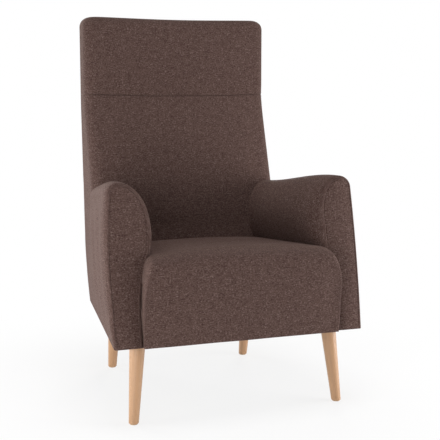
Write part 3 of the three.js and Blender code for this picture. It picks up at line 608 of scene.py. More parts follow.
def woven_cloth(colours):
    """Brown melange upholstery cloth: a plain weave of mottled yarns, each with its own flecks.
    A warp yarn's height is |sin pi a| sin^2(pi (b + floor a) / 2), a weft yarn's the same with a
    and b changed over, where a and b count the yarns."""
    cloth = Finish(bpy.data.materials.new("woven_cloth"))
    place = cloth.node("ShaderNodeUVMap", {"uv_map": "cloth"})
    yarns = cloth.stretch(place, (600, 640, 0))
    split = cloth.node("ShaderNodeSeparateXYZ", {}, {"Vector": yarns})
    a, b = split, Wire(cloth, split.socket.node.outputs[1])
    warp_number, weft_number = a.math("FLOOR"), b.math("FLOOR")

    def yarns_height(across, along):
        humps = (along * (math.pi / 2)).math("SINE") ** 2
        return (across * math.pi).math("SINE").math("ABSOLUTE") * humps

    warp, weft = yarns_height(a, b + warp_number), yarns_height(b, a + weft_number + 1)
    on_top = warp.math("GREATER_THAN", weft)
    height = warp.math("MAXIMUM", weft)
    warp_at = cloth.node("ShaderNodeCombineXYZ", {}, {"X": warp_number * 7.31, "Y": b * 0.24, "Z": 3.0})
    weft_at = cloth.node("ShaderNodeCombineXYZ", {}, {"X": a * 0.16, "Y": weft_number * 5.17, "Z": 9.0})
    warp_fleck = cloth.noise(warp_at, None, 1)
    weft_fleck = cloth.noise(weft_at, None, 1)
    yarn_fleck = warp_fleck * on_top + weft_fleck * (1 - on_top)
    grain = cloth.noise(place, (210, 340, 1), 2, 0.6)
    mottle = cloth.noise(place, (60, 80, 1), 3)
    fleck = yarn_fleck * 0.55 + grain * 0.75 - 0.15 + (mottle - 0.5) * 0.2
    stops = [
        (0.34, rgba(colours.yarn_dark)),
        (0.48, rgba(colours.yarn, 0.85)),
        (0.56, rgba(colours.yarn, 1.1)),
        (0.74, rgba(colours.yarn_light)),
    ]
    tone = cloth.node("ShaderNodeValToRGB", {"stops": stops}, {"Fac": fleck})
    # Painted shade: the colour is darkened towards the dark yarn, by up to 0.35, where the weave sinks
    # between the yarns
    painted_weave_shade = cloth.blend(height.math("MULTIPLY_ADD", -0.35, 0.35), tone, rgba(colours.yarn_dark))
    fuzz = cloth.noise(place, (900, 900, 1))
    raised = cloth.bump(height + fuzz * 0.5 + grain * 0.8, 0.0005, 0.7)
    return cloth.surface(
        Base_Color=painted_weave_shade,
        Roughness=fuzz * 0.08 + 0.88,
        Normal=raised,
        Specular_IOR_Level=0.2,
        Sheen_Weight=0.10,
        Sheen_Roughness=0.45,
        Sheen_Tint=(0.95, 0.70, 0.60, 1),
    )


def turned_beech(colours):
    """Clear varnished beech: long faint growth lines along the leg, short darker ray flecks, and a
    thin satin coat. Its place on the leg is kept in the mesh as grain."""
    wood = Finish(bpy.data.materials.new("turned_beech"))
    place = wood.node("ShaderNodeAttribute", {"attribute_name": "grain"}, {}, 1)
    bend = wood.noise(place, (9, 9, 2.2))
    lines = wood.noise(place, (260, 70, 7), 3, 0.6)
    flecks = wood.noise(place, (900, 900, 130), 1)
    fleck = flecks.math("GREATER_THAN", 0.66)
    tone = lines * 0.6 + bend * 0.5
    stops = [
        (0.30, rgba(colours.beech, 0.80)),
        (0.52, rgba(colours.beech)),
        (0.75, rgba(colours.beech, 1.10)),
    ]
    shade = wood.node("ShaderNodeValToRGB", {"stops": stops}, {"Fac": tone})
    shade = wood.blend(fleck * 0.22, shade, rgba(colours.beech, 0.55))
    raised = wood.bump(lines + fleck * -0.3, 0.00012, 0.5)
    return wood.surface(
        Base_Color=shade,
        Roughness=bend * 0.1 + 0.38,
        Normal=raised,
        Coat_Weight=0.25,
        Coat_Roughness=0.3,
    )


# Each plain finish: its colour, how dark its dark parts are, its cells a metre along x, y and z,
# how far it is raised in metres, its roughness and its metallic.
PLAIN_FINISHES = {
    "frame_timber": ("timber", 0.72, (55, 55, 9), 0.0003, 0.7, 0),
    "fibreboard": ("board", 0.7, (120, 120, 120), 0.0002, 0.75, 0),
    "elastic_webbing": ("webbing", 0.6, (160, 160, 300), 0.0003, 0.8, 0),
    "dust_lining": ("lining", 0.6, (240, 240, 240), 0.0002, 0.85, 0),
    "zinc_steel": ("steel", 0.8, (90, 90, 90), 0.00004, 0.3, 0.95),
    "nylon_glides": ("nylon", 0.85, (80, 80, 80), 0.0001, 0.5, 0),
    "foam_filling": ("foam", 0.8, (300, 300, 300), 0.0004, 0.9, 0),
}


def plain_finish(name, colours):
    """A rigid or fibrous surface: its colour mottled by noise at two scales, and raised by it."""
    word, dark, scale, depth, rough, metallic = PLAIN_FINISHES[name]
    shade = getattr(colours, word)
    finish = Finish(bpy.data.materials.new(name))
    place = finish.node("ShaderNodeTexCoord", {}, {}, 3)
    coarse = finish.noise(place, scale, 3)
    fine = finish.noise(place, [value * 7 for value in scale])
    stops = [(0.32, rgba(shade, dark)), (0.68, rgba(shade))]
    tone = finish.node("ShaderNodeValToRGB", {"stops": stops}, {"Fac": coarse * 0.7 + fine * 0.3})
    raised = finish.bump(coarse + fine * 0.5, depth)
    rough = fine * 0.12 + rough
    return finish.surface(Base_Color=tone, Roughness=rough, Normal=raised, Metallic=metallic)


def make_finishes(colours):
    """Every material of the chair by the name of its slot."""
    finishes = {name: plain_finish(name, colours) for name in PLAIN_FINISHES}
    finishes.update(upholstery_fabric=woven_cloth(colours), beech_legs=turned_beech(colours))
    return finishes


FINISHES = {}


def finish_for(slot):
    """The material of a slot, made at its first use."""
    if not FINISHES:
        FINISHES.update(make_finishes(bpy.context.scene.chair_colours))
    return FINISHES[slot]


# Seat

CORNER_POWER, ROLL_POWER, DRAW_POWER = 1.8, 2.6, 1.6
RAIL_STEPS = 18  # up the front rail
LIP_SHARE, LIP_THIN, LIP_DEPTH = 0.7, 0.0004, 0.006
CREASE_WIDTH = 0.009


def seat_skin(form):
    """The seat padding. Across, the station s from -1 to 1 is x over the half width; along, a
    profile goes up the front, over a quarter of u^q + v^q = 1 with q = 2.6, along the crowned
    deck, down the back's face and home along the webbing and the front rail. Towards the arms
    the profile sinks along u^p + v^p = 1 with p = 1.8, and x is held within the arms' inner
    sides. A grid from the profile's front half to its rear half closes each side, and up to the
    deck it runs on round the rail's end as a thin lip, tucked in behind the arm's front edge."""
    s, soft = form.size, form.soft
    turn = quarter(12)
    flat_share = 1 - soft.seat_corner_width / form.seat_half
    flat = spread((1, 34)) * flat_share
    corner = flat_share + (1 - flat_share) * np.sin(turn[1:]) ** (2 / CORNER_POWER)
    share = np.concatenate([flat, corner])
    sunk = np.concatenate([flat * 0, 1 - np.cos(turn[1:]).clip(0) ** (2 / CORNER_POWER)])
    share, sunk = np.concatenate([-share[:0:-1], share]), np.concatenate([sunk[:0:-1], sunk])
    x = share * form.seat_half
    crown = soft.seat_crown * (1 - share**2)
    drop = soft.seat_corner_drop * sunk

    def top(y):
        along = np.clip((y - form.front_y - soft.seat_roll_depth) / s.seat_run, 0, 1)
        return mix(s.seat_front_height, s.seat_rear_height, along) - soft.seat_crown + crown - drop

    foot_z = s.underside + 0 * x
    roll_z = top(form.front_y) - soft.seat_roll_height
    low = (s.deck_height - s.underside) / (roll_z[0] - s.underside)
    rise = spread((low, RAIL_STEPS), (1, 4))[:, None]
    front_z = mix(foot_z, roll_z, rise)
    front_y = form.front_y + soft.seat_front_draw * (1 - rise) ** DRAW_POWER + 0 * x
    angle = quarter(18)[1:, None]
    over = 1 - np.cos(angle).clip(0) ** (2 / ROLL_POWER)
    over_y = form.front_y + soft.seat_roll_depth * over + 0 * x
    over_z = roll_z + soft.seat_roll_height * np.sin(angle) ** (2 / ROLL_POWER)
    near_back = 0.1
    reach = form.back_limit(x, top(near_back)) - SEAT_TOUCH
    run = spread((0.9, 36), (1, 10))[1:, None]
    deck_y = mix(form.front_y + soft.seat_roll_depth, reach, run)
    deck_z = top(deck_y) - soft.crease * np.exp(-(reach - deck_y) / CREASE_WIDTH)
    down = spread((1, 8))[1:, None]
    rear_z = mix(deck_z[-1], s.deck_height, down)
    rear_y = form.back_limit(x, rear_z) - SEAT_TOUCH
    rail_y = form.foot_y + TIMBER_SETBACK
    home = spread((1, 16))[1:, None]
    base_y = mix(rear_y[-1], rail_y, home)
    base_z = s.deck_height + 0 * base_y
    rail_z = mix(s.deck_height, s.underside, spread((1, RAIL_STEPS))[1:, None]) + 0 * x
    ys = np.concatenate([front_y, over_y, deck_y, rear_y, base_y, rail_y + 0 * rail_z])
    zs = np.concatenate([front_z, over_z, deck_z, rear_z, base_z, rail_z])

    def limits(y, z):
        """The arm's inner side, how far y is beside it, the seat's own half width, and the less."""
        within = form.arm_inner(y, z) - SEAT_TOUCH
        beside = ease(y, form.arm_front(z) - 0.004, form.arm_front(z) + soft.arm_edge)
        free = form.seat_half - form.taper * (y - form.foot_y)
        return within, beside, free, mix(free, np.minimum(free, within), beside)

    within, beside, free, half = limits(ys, zs)
    xs = share * free
    xs = mix(xs, np.clip(xs, -within, within), beside)
    fore = 1 - ease(ys, form.front_y + 0.02, form.front_y + soft.seat_roll_depth)
    ys = ys + edge_inset(half - np.abs(xs), soft.seat_edge, soft.seat_edge) * fore
    rows = len(front_y) + len(over_y) + len(deck_y)
    shown = np.zeros(len(ys))
    shown[: rows - 4] = 1
    faint = uneven(xs, ys + zs, 3, 0.16) * soft.softness * shown[:, None] * (1 - sunk)
    ys = ys - faint * fore
    zs = zs + faint * (1 - fore)
    points = np.stack([xs + form.offset(zs), ys, zs], -1)
    steps = spread((LIP_SHARE, 8), (1, 4))[:, None]
    under = mix(points[:1], points[-1:], steps[-2::-1, :, None])
    whole = np.concatenate([points, under])
    skin = Skin()
    across = arc(whole, 1) - arc(whole, 1)[:, len(x) // 2][:, None]
    skin.patch(whole, np.stack([across, arc(whole, 0)], -1))
    for column, side in ((0, -1), (-1, 1)):
        ring = points[:, column] * [side, 1, 1]
        count = len(ring) // 2 + 1
        near, far = ring[:count, None], ring[: -count - 1 : -1, None]
        grid = mix(near, far, steps)
        curved = limits(grid[..., 1], grid[..., 2])[3]
        grid[..., 0] += curved - mix(curved[:, :1], curved[:, -1:], steps[:, 0])
        low = slice(1, RAIL_STEPS + 1)
        lip = far[low] * 1
        lip[..., 0] -= LIP_THIN
        lip[..., 1] = np.maximum(lip[..., 1], form.arm_front(lip[..., 2]) + LIP_DEPTH)
        out = np.clip(steps / LIP_SHARE, 0, 1)
        back = np.clip((steps - LIP_SHARE) / (1 - LIP_SHARE), 0, 1)
        grid[0] = mix(near[0], far[0], steps)
        grid[low] = mix(mix(near[low], lip, out), far[low], back)
        skin.patch(grid * [side, 1, 1], grid[..., 1:])
    return skin


class CHAIR_OT_seat_padding(Operator):
    """Make the seat padding with its rolled front"""

    bl_idname = "chair.seat_padding"
    bl_label = "Seat padding"

    def execute(self, context):
        form = Form(context.scene)
        piece = seat_skin(form).object("seat_padding")

        def free(x, y, z):
            """Held at its foot, its inside, the back and the arms, and free 70 to 80 mm away."""
            inward = form.back_limit(x, z) - y
            across = form.arm_inner(np.maximum(y, form.foot_y), z) - np.abs(x)
            shown = (y < form.foot_y) | (z > form.size.deck_height + 0.04)
            return ease(z, 0.22, 0.29) * ease(inward, 0.005, 0.08) * ease(across, 0.004, 0.07) * shown

        swell(piece, free, 0.004)
        settle(piece, "upholstery_fabric", "seat_cover", "seat_foam")
        return {"FINISHED"}


# Back

FACE, CORNER, SIDE, REAR = 44, 10, 12, 6
OUTLINE = FACE + CORNER + SIDE + REAR
# The hollow for the timber posts: in from the back's side low down and above the arms, the posts'
# depth at their foot and above the bend, the height of their foot, and the gap in front of them.
POST_SIDE_LOW, POST_SIDE_HIGH = 0.0043, 0.0030
POST_DEEP, POST_THIN, POST_FOOT, POST_FRONT = 0.088, 0.044, 0.212, 0.0031


def back_half_rings(form, z, rise, hollow, panel):
    """Right-hand halves of the back's closed rings, one for each height z. The first columns run
    from the middle of the front over a crowned face, a quarter circle, the side and a smaller
    quarter circle to the rear lip; the others run back inside, round the hollow for the timber
    frame where hollow is 1, along the outside back panel where panel is 1, or else straight."""
    s, soft = form.size, form.soft
    z, rise, hollow, panel = (value[:, None] for value in (z, rise, hollow, panel))
    drawn = 1 - np.sqrt(1 - rise**2)
    front = form.face(z) + soft.back_top * drawn
    rear = form.rear(z) - soft.back_rear_corner * drawn
    draw = soft.back_top * drawn
    radius = np.maximum(soft.back_corner - draw / 2, soft.back_rear_corner)
    half = form.back_half(front + radius, z) - draw
    flat = half - radius
    face = spread((1, FACE))
    turn = quarter(CORNER)[1:]
    side = spread((1, SIDE))[1:]
    last = quarter(REAR)[1:]
    face_x = flat * face
    seam = form.seam(z)
    bulge = form.crown(z) * (1 - face**2) - seam
    faint = uneven(face_x, z + 0 * face_x, 5, 0.17) * soft.softness * (1 - face**4) * (1 - drawn)
    tuck = seam * (1 - 0.8 * turn / turn[-1])
    corner_x = flat + (radius - tuck) * np.sin(turn)
    corner_y = front + radius - (radius - tuck) * np.cos(turn)
    small = soft.back_rear_corner
    side_y = mix(front + radius, rear - small, side)
    side_x = form.back_half(side_y, z) - draw - tuck[:, -1:] * (1 - side)
    last_half = form.back_half(rear, z) - draw
    last_x = last_half - small * (1 - np.cos(last))
    last_y = rear - small * (1 - np.sin(last))
    xs = np.concatenate([face_x, corner_x, side_x, last_x], 1)
    ys = np.concatenate([front - bulge - faint, corner_y, side_y, last_y], 1)
    beside = (xs > flat + radius * 0.5) & (z < form.shoulder_z)
    xs = xs - form.rebate(ys, z) * beside
    lip_x, lip_y = last_half - small, rear
    inner = soft.outside_back + GAP
    side_gap = mix(POST_SIDE_LOW, POST_SIDE_HIGH, ease(z, 0.56, 0.6))
    wall = form.back_half(ys[:, -REAR - 2 :][:, :1], z) - side_gap
    up = np.clip((z - POST_FOOT) / (form.bend_z - POST_FOOT), 0, 1)
    chamber = form.rear(z) - inner - mix(POST_DEEP, POST_THIN, up) - POST_FRONT
    step = spread((0.3, 1), (1, REAR - 1))[1:]
    in_x = mix(lip_x, wall, np.clip((step - 0.3) / 0.7, 0, 1))
    in_y = mix(lip_y, lip_y - inner, np.clip(step / 0.3, 0, 1))
    up_y = mix(lip_y - inner, chamber, spread((1, SIDE))[1:])
    stay = np.ones(CORNER)
    across = 1 - spread((1, FACE))[1:]
    hollow_x = np.concatenate([in_x, wall + 0 * up_y, wall * stay, wall * across], 1)
    hollow_y = np.concatenate([in_y, up_y, chamber * stay, chamber + 0 * across * wall], 1)
    ladder = np.concatenate([face_x, mix(flat, lip_x, spread((1, OUTLINE - FACE))[1:])], 1)[:, -2::-1]
    panel_y = lip_y - inner * ease(np.arange(1, OUTLINE + 1), 0, 2) * (ladder < lip_x - 0.0001)
    plain_y = lip_y + 0 * ladder
    inside_x = np.where(hollow > 0, hollow_x, ladder)
    inside_y = np.where(hollow > 0, hollow_y, np.where(panel > 0, panel_y, plain_y))
    dip = soft.back_dip * rise**2
    xs = np.concatenate([xs, inside_x], 1)
    ys = np.concatenate([ys, inside_y], 1)
    dip = dip * (1 - np.clip(xs / s.back_half_width, 0, 1) ** 2) ** 2
    sag = soft.seam_sag * np.clip(1 - (xs / flat) ** 2, 0, 1) * bell(z - form.seam_z, 0.07)
    zs = z - dip - sag * (np.arange(xs.shape[1]) < OUTLINE)
    return np.stack([xs, ys, zs], -1)


def add_back(skin, rings, start):
    """Adds both halves of a stack of rings and closes its lower end, and its upper end by rows
    that join the front to the rear. The cloth map starts at the given height."""
    across, along = arc(rings, 1), arc(rings, 0) + start
    cloth = np.stack([across, along], -1)
    skin.mirror(rings[:, : OUTLINE + 1], cloth[:, : OUTLINE + 1])
    skin.mirror(rings[:, OUTLINE:], cloth[:, OUTLINE:])
    for end in (0, -1):
        ring = rings[end]
        near, far = ring[: OUTLINE + 1], ring[: OUTLINE - 1 : -1]
        steps = spread((1, 5))[:, None, None]
        grid = mix(near, far, steps)
        flat = np.stack([grid[..., 0], grid[..., 1] - near[:, 1] + along[end, : OUTLINE + 1]], -1)
        skin.mirror(grid, flat)


STRIP_THICKNESS = 0.0018


def lower_back_skin(form):
    """The padding below the headrest's seam, and the two narrow strips of cloth that run down
    behind the side panels."""
    s, soft = form.size, form.soft
    rows = spread((0.86, 44), (0.965, 12), (0.99, 8), (1, 8))
    z = mix(s.deck_height + GAP, form.seam_z - GAP / 2, rows)
    skin = Skin()
    add_back(skin, back_half_rings(form, z, z * 0, z * 0 + 1, z * 0 + 1), s.deck_height)
    z = np.linspace(s.underside + GAP, s.deck_height, 12)[:, None]
    small = soft.back_rear_corner
    rear = form.rear(z)
    turn = quarter(REAR)[1:]
    start = form.panel_rear(z) + GAP
    side_y = mix(start, rear - small, spread((1, 3)))
    half = form.back_half(rear, z)
    lines = []
    for thick in (0, STRIP_THICKNESS):
        radius = small - thick
        corner_x, corner_y = half - small + radius * np.cos(turn), rear - small + radius * np.sin(turn)
        x = np.concatenate([form.back_half(side_y, z) - thick, corner_x], 1)
        y = np.concatenate([side_y, corner_y], 1)
        lines.append(np.stack([x, y, z + 0 * x], -1))
    outer, inner = lines
    ring = np.concatenate([outer, inner[:, ::-1], outer[:, :1]], 1)
    skin.mirror(ring)
    for end in (0, -1):
        skin.mirror(np.stack([outer[end], inner[end]]))
    return skin


def headrest_skin(form):
    """The padding above the seam, with its top edge rounded over a quarter circle."""
    s, soft = form.size, form.soft
    shoulder = s.overall_height - soft.back_top
    chamber_top = s.overall_height - TOP_RAIL_DROP + GAP
    panel_top = s.overall_height - soft.back_dip - soft.back_rear_corner + GAP
    rows = spread((0.02, 8), (0.08, 8), (0.2, 8), (1, 30))
    z = mix(form.seam_z + GAP / 2, shoulder, rows)
    z = np.sort(np.append(z, [chamber_top, chamber_top]))
    first = np.searchsorted(z, chamber_top)
    hollow = (np.arange(len(z)) <= first).astype(float)
    turn = quarter(14)[1:]
    z = np.concatenate([z, shoulder + soft.back_top * np.sin(turn)])
    rise = np.concatenate([z[: -len(turn)] * 0, np.sin(turn)])
    hollow = np.concatenate([hollow, turn * 0])
    panel = (z < panel_top).astype(float)
    skin = Skin()
    add_back(skin, back_half_rings(form, z, rise, hollow, panel), form.seam_z)
    return skin


class CHAIR_OT_back_padding(Operator):
    """Make the headrest and the lower back, which meet at a seam across the front"""

    bl_idname = "chair.back_padding"
    bl_label = "Back padding"

    def execute(self, context):
        form = Form(context.scene)
        for part, skin in (("headrest", headrest_skin(form)), ("lower_back", lower_back_skin(form))):
            piece = skin.object(part + "_padding")

            def free(x, y, z):
                """Held at the seam, the seat, the top, the corners and behind, and free 60 mm away."""
                across = form.back_half(y, z) - form.soft.back_corner - np.abs(x)
                seam = ease(np.abs(z - form.seam_z), 0.004, 0.06)
                low = ease(z - form.size.seat_front_height, 0, 0.06)
                high = ease(form.size.overall_height - z, 0.02, 0.08)
                return seam * low * high * ease(across, -0.01, 0.05) * (y < form.face(z) + 0.02)

            swell(piece, free, 0.004)
            settle(piece, "upholstery_fabric", part + "_cover", part + "_foam")
        return {"FINISHED"}


PANEL_ROUND, PANEL_PILLOW, PANEL_UNEVEN = 0.004, 0.0015, 0.0004
PILLOW_MIDDLE, PILLOW_REACH = 0.64, 0.43
OUTSIDE_ROWS = 60


def outside_back_skin(form):
    """The panel behind the back: width times height, its edges rounded over and its top corners a
    quarter circle, standing out a little in its middle."""
    s, soft = form.size, form.soft
    rim = soft.back_rear_corner
    radius = soft.back_top - rim
    top = s.overall_height - soft.back_dip - rim
    turn = quarter(10)[1:]
    straight = np.linspace(s.underside + GAP, top - radius, OUTSIDE_ROWS)
    z = np.concatenate([straight, top - radius * (1 - np.sin(turn))])
    drawn = np.concatenate([0 * straight, radius * (1 - np.cos(turn))])
    z, drawn = z[:, None], drawn[:, None]
    edge = np.concatenate([[0, 0.0012, 0.003, 0.006, 0.011], np.linspace(0.02, 0.5, 18)])
    share = np.concatenate([-1 + 2 * edge, 1 - 2 * edge[-2::-1]])
    half = form.back_half(form.rear(z), z) - rim - drawn - GAP
    x = half * share
    out = np.minimum(half - np.abs(x), np.minimum(top - z, z - s.underside))
    fall = edge_inset(out, PANEL_ROUND, PANEL_ROUND)
    pillow = PANEL_PILLOW * (1 - share**2) * (1 - ((z - PILLOW_MIDDLE) / PILLOW_REACH) ** 2)
    faint = uneven(x, z, 11, 0.2) * PANEL_UNEVEN * ease(out, 0, 0.03)
    y = form.rear(z) - fall + np.clip(pillow, 0, 1) + faint
    outer = np.stack([x, y, z + 0 * x], -1)
    inner = np.stack([x, form.rear(z) - soft.outside_back + 0 * x, z + 0 * x], -1)
    skin = Skin()
    skin.slab(outer, inner, np.stack([x, z + 0 * x], -1))
    return skin


class CHAIR_OT_outside_back(Operator):
    """Make the cloth panel that closes the rear of the back"""

    bl_idname = "chair.outside_back"
    bl_label = "Outside back"

    def execute(self, context):
        piece = outside_back_skin(Form(context.scene)).object("outside_back_cloth")
        settle(piece, "upholstery_fabric", "outside_back_panel")
        return {"FINISHED"}


# Arms

ARC_OUT, SIDE_OUT = 12, 36
ARC_IN, BLEND_IN, LEG_IN = 20, 16, 12
FACING_SEAM_AT, FACING_SEAM_WIDE = 0.055, 0.028  # as shares of the way to the middle


def arm_rings(form, side, y, inset, push, hollow, lean):
    """Closed rings of an arm, one for each depth y, from its ridge out over a quarter ellipse and
    down its outer side, and home up its inner side: upright, then half a cosine wave to the
    bulge, then a quarter ellipse. Where hollow is 1 the outer side runs instead under the rail and
    down beside the board. Each ring leans with the arm's front by its share of lean."""
    s, soft = form.size, form.soft
    y, inset, push, hollow, lean = (value[:, None] for value in (y, inset, push, hollow, lean))
    top, shoulder, ridge, waist, bulge, bulge_z = form.arm_marks(y)
    waist, bulge = waist + inset, bulge + inset
    turn = quarter(ARC_OUT)
    out_x = ridge + (s.arm_shoulder_width - inset) * np.sin(turn)
    out_z = shoulder + (s.arm_shoulder_height - inset) * np.cos(turn)
    down = spread((0.03, 4), (1, SIDE_OUT - 4))[1:]
    side_z = mix(shoulder, s.underside, down)
    solid_x = form.body_half(y, side_z) - inset
    ceiling = top - ARM_RAIL_DROP + GAP
    lead_z = mix(shoulder, ceiling, spread((1, 5))[1:])
    lead_x = form.body_half(y, lead_z)
    board = form.body_half(y, ceiling) - BOARD_INSET
    over_x = mix(lead_x[:, -1:], board, spread((1, 5))[1:])
    wall_z = mix(ceiling, s.deck_height, spread((1, SIDE_OUT - 10))[1:])
    hollow_x = np.concatenate([lead_x, over_x, form.body_half(y, wall_z) - BOARD_INSET], 1)
    hollow_z = np.concatenate([lead_z, ceiling + 0 * over_x, wall_z], 1)
    side_x = np.where(hollow > 0, hollow_x, solid_x)
    side_z = np.where(hollow > 0, hollow_z, side_z)
    floor = np.where(hollow > 0, s.deck_height, s.underside)
    middle_x = (side_x[:, -1:] + waist) / 2
    leg_z = mix(s.underside, s.arm_waist, spread((1, LEG_IN)))
    leg_z = np.maximum(leg_z, floor)
    wave = spread((1, BLEND_IN))[1:]
    wave_z = mix(s.arm_waist, bulge_z, wave)
    wave_x = mix(waist, bulge, (1 - np.cos(wave * math.pi)) / 2)
    turn = (1 - spread((1, ARC_IN))[1:-1]) * math.pi / 2
    arc_x = ridge - (s.arm_inner_width - inset) * np.sin(turn)
    arc_z = bulge_z + (s.arm_inner_height - inset) * np.cos(turn)
    xs = np.concatenate([out_x, side_x, middle_x, waist + 0 * leg_z, wave_x, arc_x], 1)
    zs = np.concatenate([out_z, side_z, floor, leg_z, wave_z, arc_z], 1)
    nominal = form.arm_front(s.arm_height - s.arm_inner_height)
    shift = (form.arm_front(zs) - nominal) * lean + push
    xs, ys = xs - form.taper * shift, y + shift
    column = np.arange(xs.shape[1])
    outside = column <= ARC_OUT + SIDE_OUT
    inside = column > ARC_OUT + SIDE_OUT + 1
    behind = ys - form.arm_front(zs)
    sewn = edge_inset(behind, soft.arm_edge, soft.arm_edge)
    wide = form.side_edge(side, ys, zs)
    xs = xs - (wide - sewn) * np.clip(column / ARC_OUT, 0, 1) * outside
    xs = xs - form.rebate(ys, zs) * outside * (column > ARC_OUT)
    radius = soft.left_inner_edge if side > 0 else soft.right_inner_edge
    home = np.clip((xs.shape[1] - column) / ARC_IN, 0, 1) * inside
    xs = xs + (edge_inset(behind, radius, radius) - sewn) * home * mix(0.2, 1, ease(zs, 0.36, 0.5))
    xs = xs + side * form.offset(zs) * inside
    return np.stack([xs, ys, zs], -1)


def arm_skin(form, side):
    """An arm's padding: nested rings fill its front, a quarter circle rounds the sewn edge, rings
    run rearwards, solid before the timber post and hollow behind it, and the last ones end on the
    back's face."""
    s, soft = form.size, form.soft
    start = form.arm_front(s.arm_height - s.arm_inner_height)
    turn = quarter(8)
    radius = soft.arm_edge
    drawn, pushed = radius * (1 - np.sin(turn)), radius * (1 - np.cos(turn))
    along = spread((0.04, 6), (1, 60))
    run_y = mix(start + radius, form.arm_end, along)
    post = start + TIMBER_SETBACK
    before, after = run_y[run_y < post], run_y[run_y > post]
    y = np.concatenate([turn * 0 + start, before[1:], [post, post], after])
    count = len(y)
    inset = np.concatenate([drawn, np.zeros(count - len(turn))])
    push = np.concatenate([pushed, np.zeros(count - len(turn))])
    hollow = (np.arange(count) > count - len(after) - 2).astype(float)
    share = np.clip((y - start - radius) / (form.arm_end - start - radius), 0, 1)
    rings = arm_rings(form, side, y, inset, push, hollow, 1 - share)
    column = np.arange(rings.shape[1])
    shown = (column > ARC_OUT + SIDE_OUT) | (column <= ARC_OUT)
    faint = uneven(rings[..., 1], rings[..., 2], 17, 0.15) * soft.softness * shown
    rings[..., 0] -= faint * ease(y - start, 0.01, 0.06)[:, None]
    limit = form.back_limit(rings[..., 0], rings[..., 2]) - ARM_TOUCH
    rings[..., 1] = np.minimum(rings[..., 1], limit)
    rings = np.concatenate([rings, rings[:, :1]], 1)
    mirror = [side, 1, 1]
    skin = Skin()
    across, forward = arc(rings, 1), arc(rings, 0)
    skin.patch(rings * mirror, np.stack([forward, across], -1))

    def halves(ring):
        half = (len(ring) - 1) // 2
        return ring[: half + 1], ring[: half - 1 : -1]

    outer, inner = halves(rings[0])
    spine = (outer + inner) / 2
    nest = spread((0.05, 3), (0.14, 4), (1, 10))[:, None]
    deep = soft.facing_seam * bell(nest - FACING_SEAM_AT, FACING_SEAM_WIDE)
    crown = soft.arm_facing_crown * (1 - (1 - nest) ** 2) * ease(nest, 0.02, 0.4)
    for line in (outer, inner):
        grid = mix(line, spine, nest[..., None])
        grid[..., 1] += (deep - crown) * (line[:, 2] > s.underside + 0.001)
        flat = np.stack([grid[..., 0] * side, grid[..., 2]], -1)
        skin.patch(grid * mirror, flat)
    skin.patch(np.stack(halves(rings[-1])) * mirror)
    return skin


FIRST_WAVE = 0.05  # from an arm's front to the crest of the first wave


def side_panel_skin(form, side):
    """A side panel: depth times height between its curved edges, rounded over at them, with soft
    upright waves that fade towards its edges."""
    s, soft = form.size, form.soft
    edge = np.array([0, 0.002, 0.005, 0.009, 0.015, 0.024])
    u = np.concatenate([edge, np.linspace(0.036, 0.964, 44), 1 - edge[::-1]])[None, :]
    v = np.concatenate([edge * 1.2, np.linspace(0.045, 0.955, 34), 1 - edge[::-1]])[:, None]
    low = form.arm_front(form.shoulder_z) + soft.arm_edge
    high = form.panel_rear(form.shoulder_z - s.arm_drop)
    top = form.arm_top(mix(low, high, u)) - s.arm_shoulder_height
    z = mix(s.underside + GAP, top, v)
    y = mix(form.arm_front(z) + soft.arm_edge, form.panel_rear(z), u)
    behind = y - form.arm_front(z)
    long, tall = form.panel_rear(z) - form.arm_front(z) - soft.arm_edge, top - s.underside
    out = np.minimum(np.minimum(u, 1 - u) * long, np.minimum(1 - v + 0 * u, v + 0.01) * tall)
    thick = soft.panel_thickness
    fall = edge_inset(out, thick, thick)
    wave = np.cos((behind - FIRST_WAVE) * 2 * math.pi / soft.ripple_pitch) / 2
    fade = ease(out, 0, 0.04) * ease(1 - v, 0, 0.3) * ease(v, 0, 0.3) * (1 - 0.6 * ease(u, 0.45, 0.8))
    ripple = soft.panel_ripple * wave * fade
    half = form.body_half(y, z) - form.side_edge(side, y, z)
    outer = np.stack([half - fall + ripple, y, z], -1)
    inner = np.stack([half - thick + 0 * ripple, y, z], -1)
    mirror = [side, 1, 1]
    skin = Skin()
    skin.slab(outer * mirror, inner * mirror, np.stack([y, z], -1))
    return skin


class CHAIR_OT_arm_padding(Operator):
    """Make both arms' padding"""

    bl_idname = "chair.arm_padding"
    bl_label = "Arm padding"

    def execute(self, context):
        form = Form(context.scene)
        for word, side in SIDES.items():
            piece = arm_skin(form, side).object(word + "_arm_padding")

            def free(x, y, z):
                """Held at its front, its outer side, the seat and the back, and free 50 mm away."""
                behind = y - form.arm_front(z)
                inner = form.arm_marks(y)[2] + 0.01 - x * side
                away = form.back_limit(x, z) - y
                shown = ease(inner, 0, 0.03) * (np.abs(x) < form.body_half(y, z) - 0.02)
                return shown * ease(behind, 0.012, 0.05) * ease(z, 0.45, 0.5) * ease(away, 0.005, 0.07)

            swell(piece, free, 0.003)
            settle(piece, "upholstery_fabric", word + "_arm_cover", word + "_arm_foam")
        return {"FINISHED"}


class CHAIR_OT_side_panels(Operator):
    """Make the cloth panels on the chair's outer sides"""

    bl_idname = "chair.side_panels"
    bl_label = "Side panels"

    def execute(self, context):
        form = Form(context.scene)
        for word, side in SIDES.items():
            piece = side_panel_skin(form, side).object(word + "_side_cloth")
            settle(piece, "upholstery_fabric", word + "_side_panel")
        return {"FINISHED"}


# Legs

PIN_BORE, PIN_TOP = 0.0018, 0.0163  # radius, and height above the floor
BOLT_BORE, BOLT_DEPTH = 0.0043, 0.0363  # radius, and depth below the leg's top


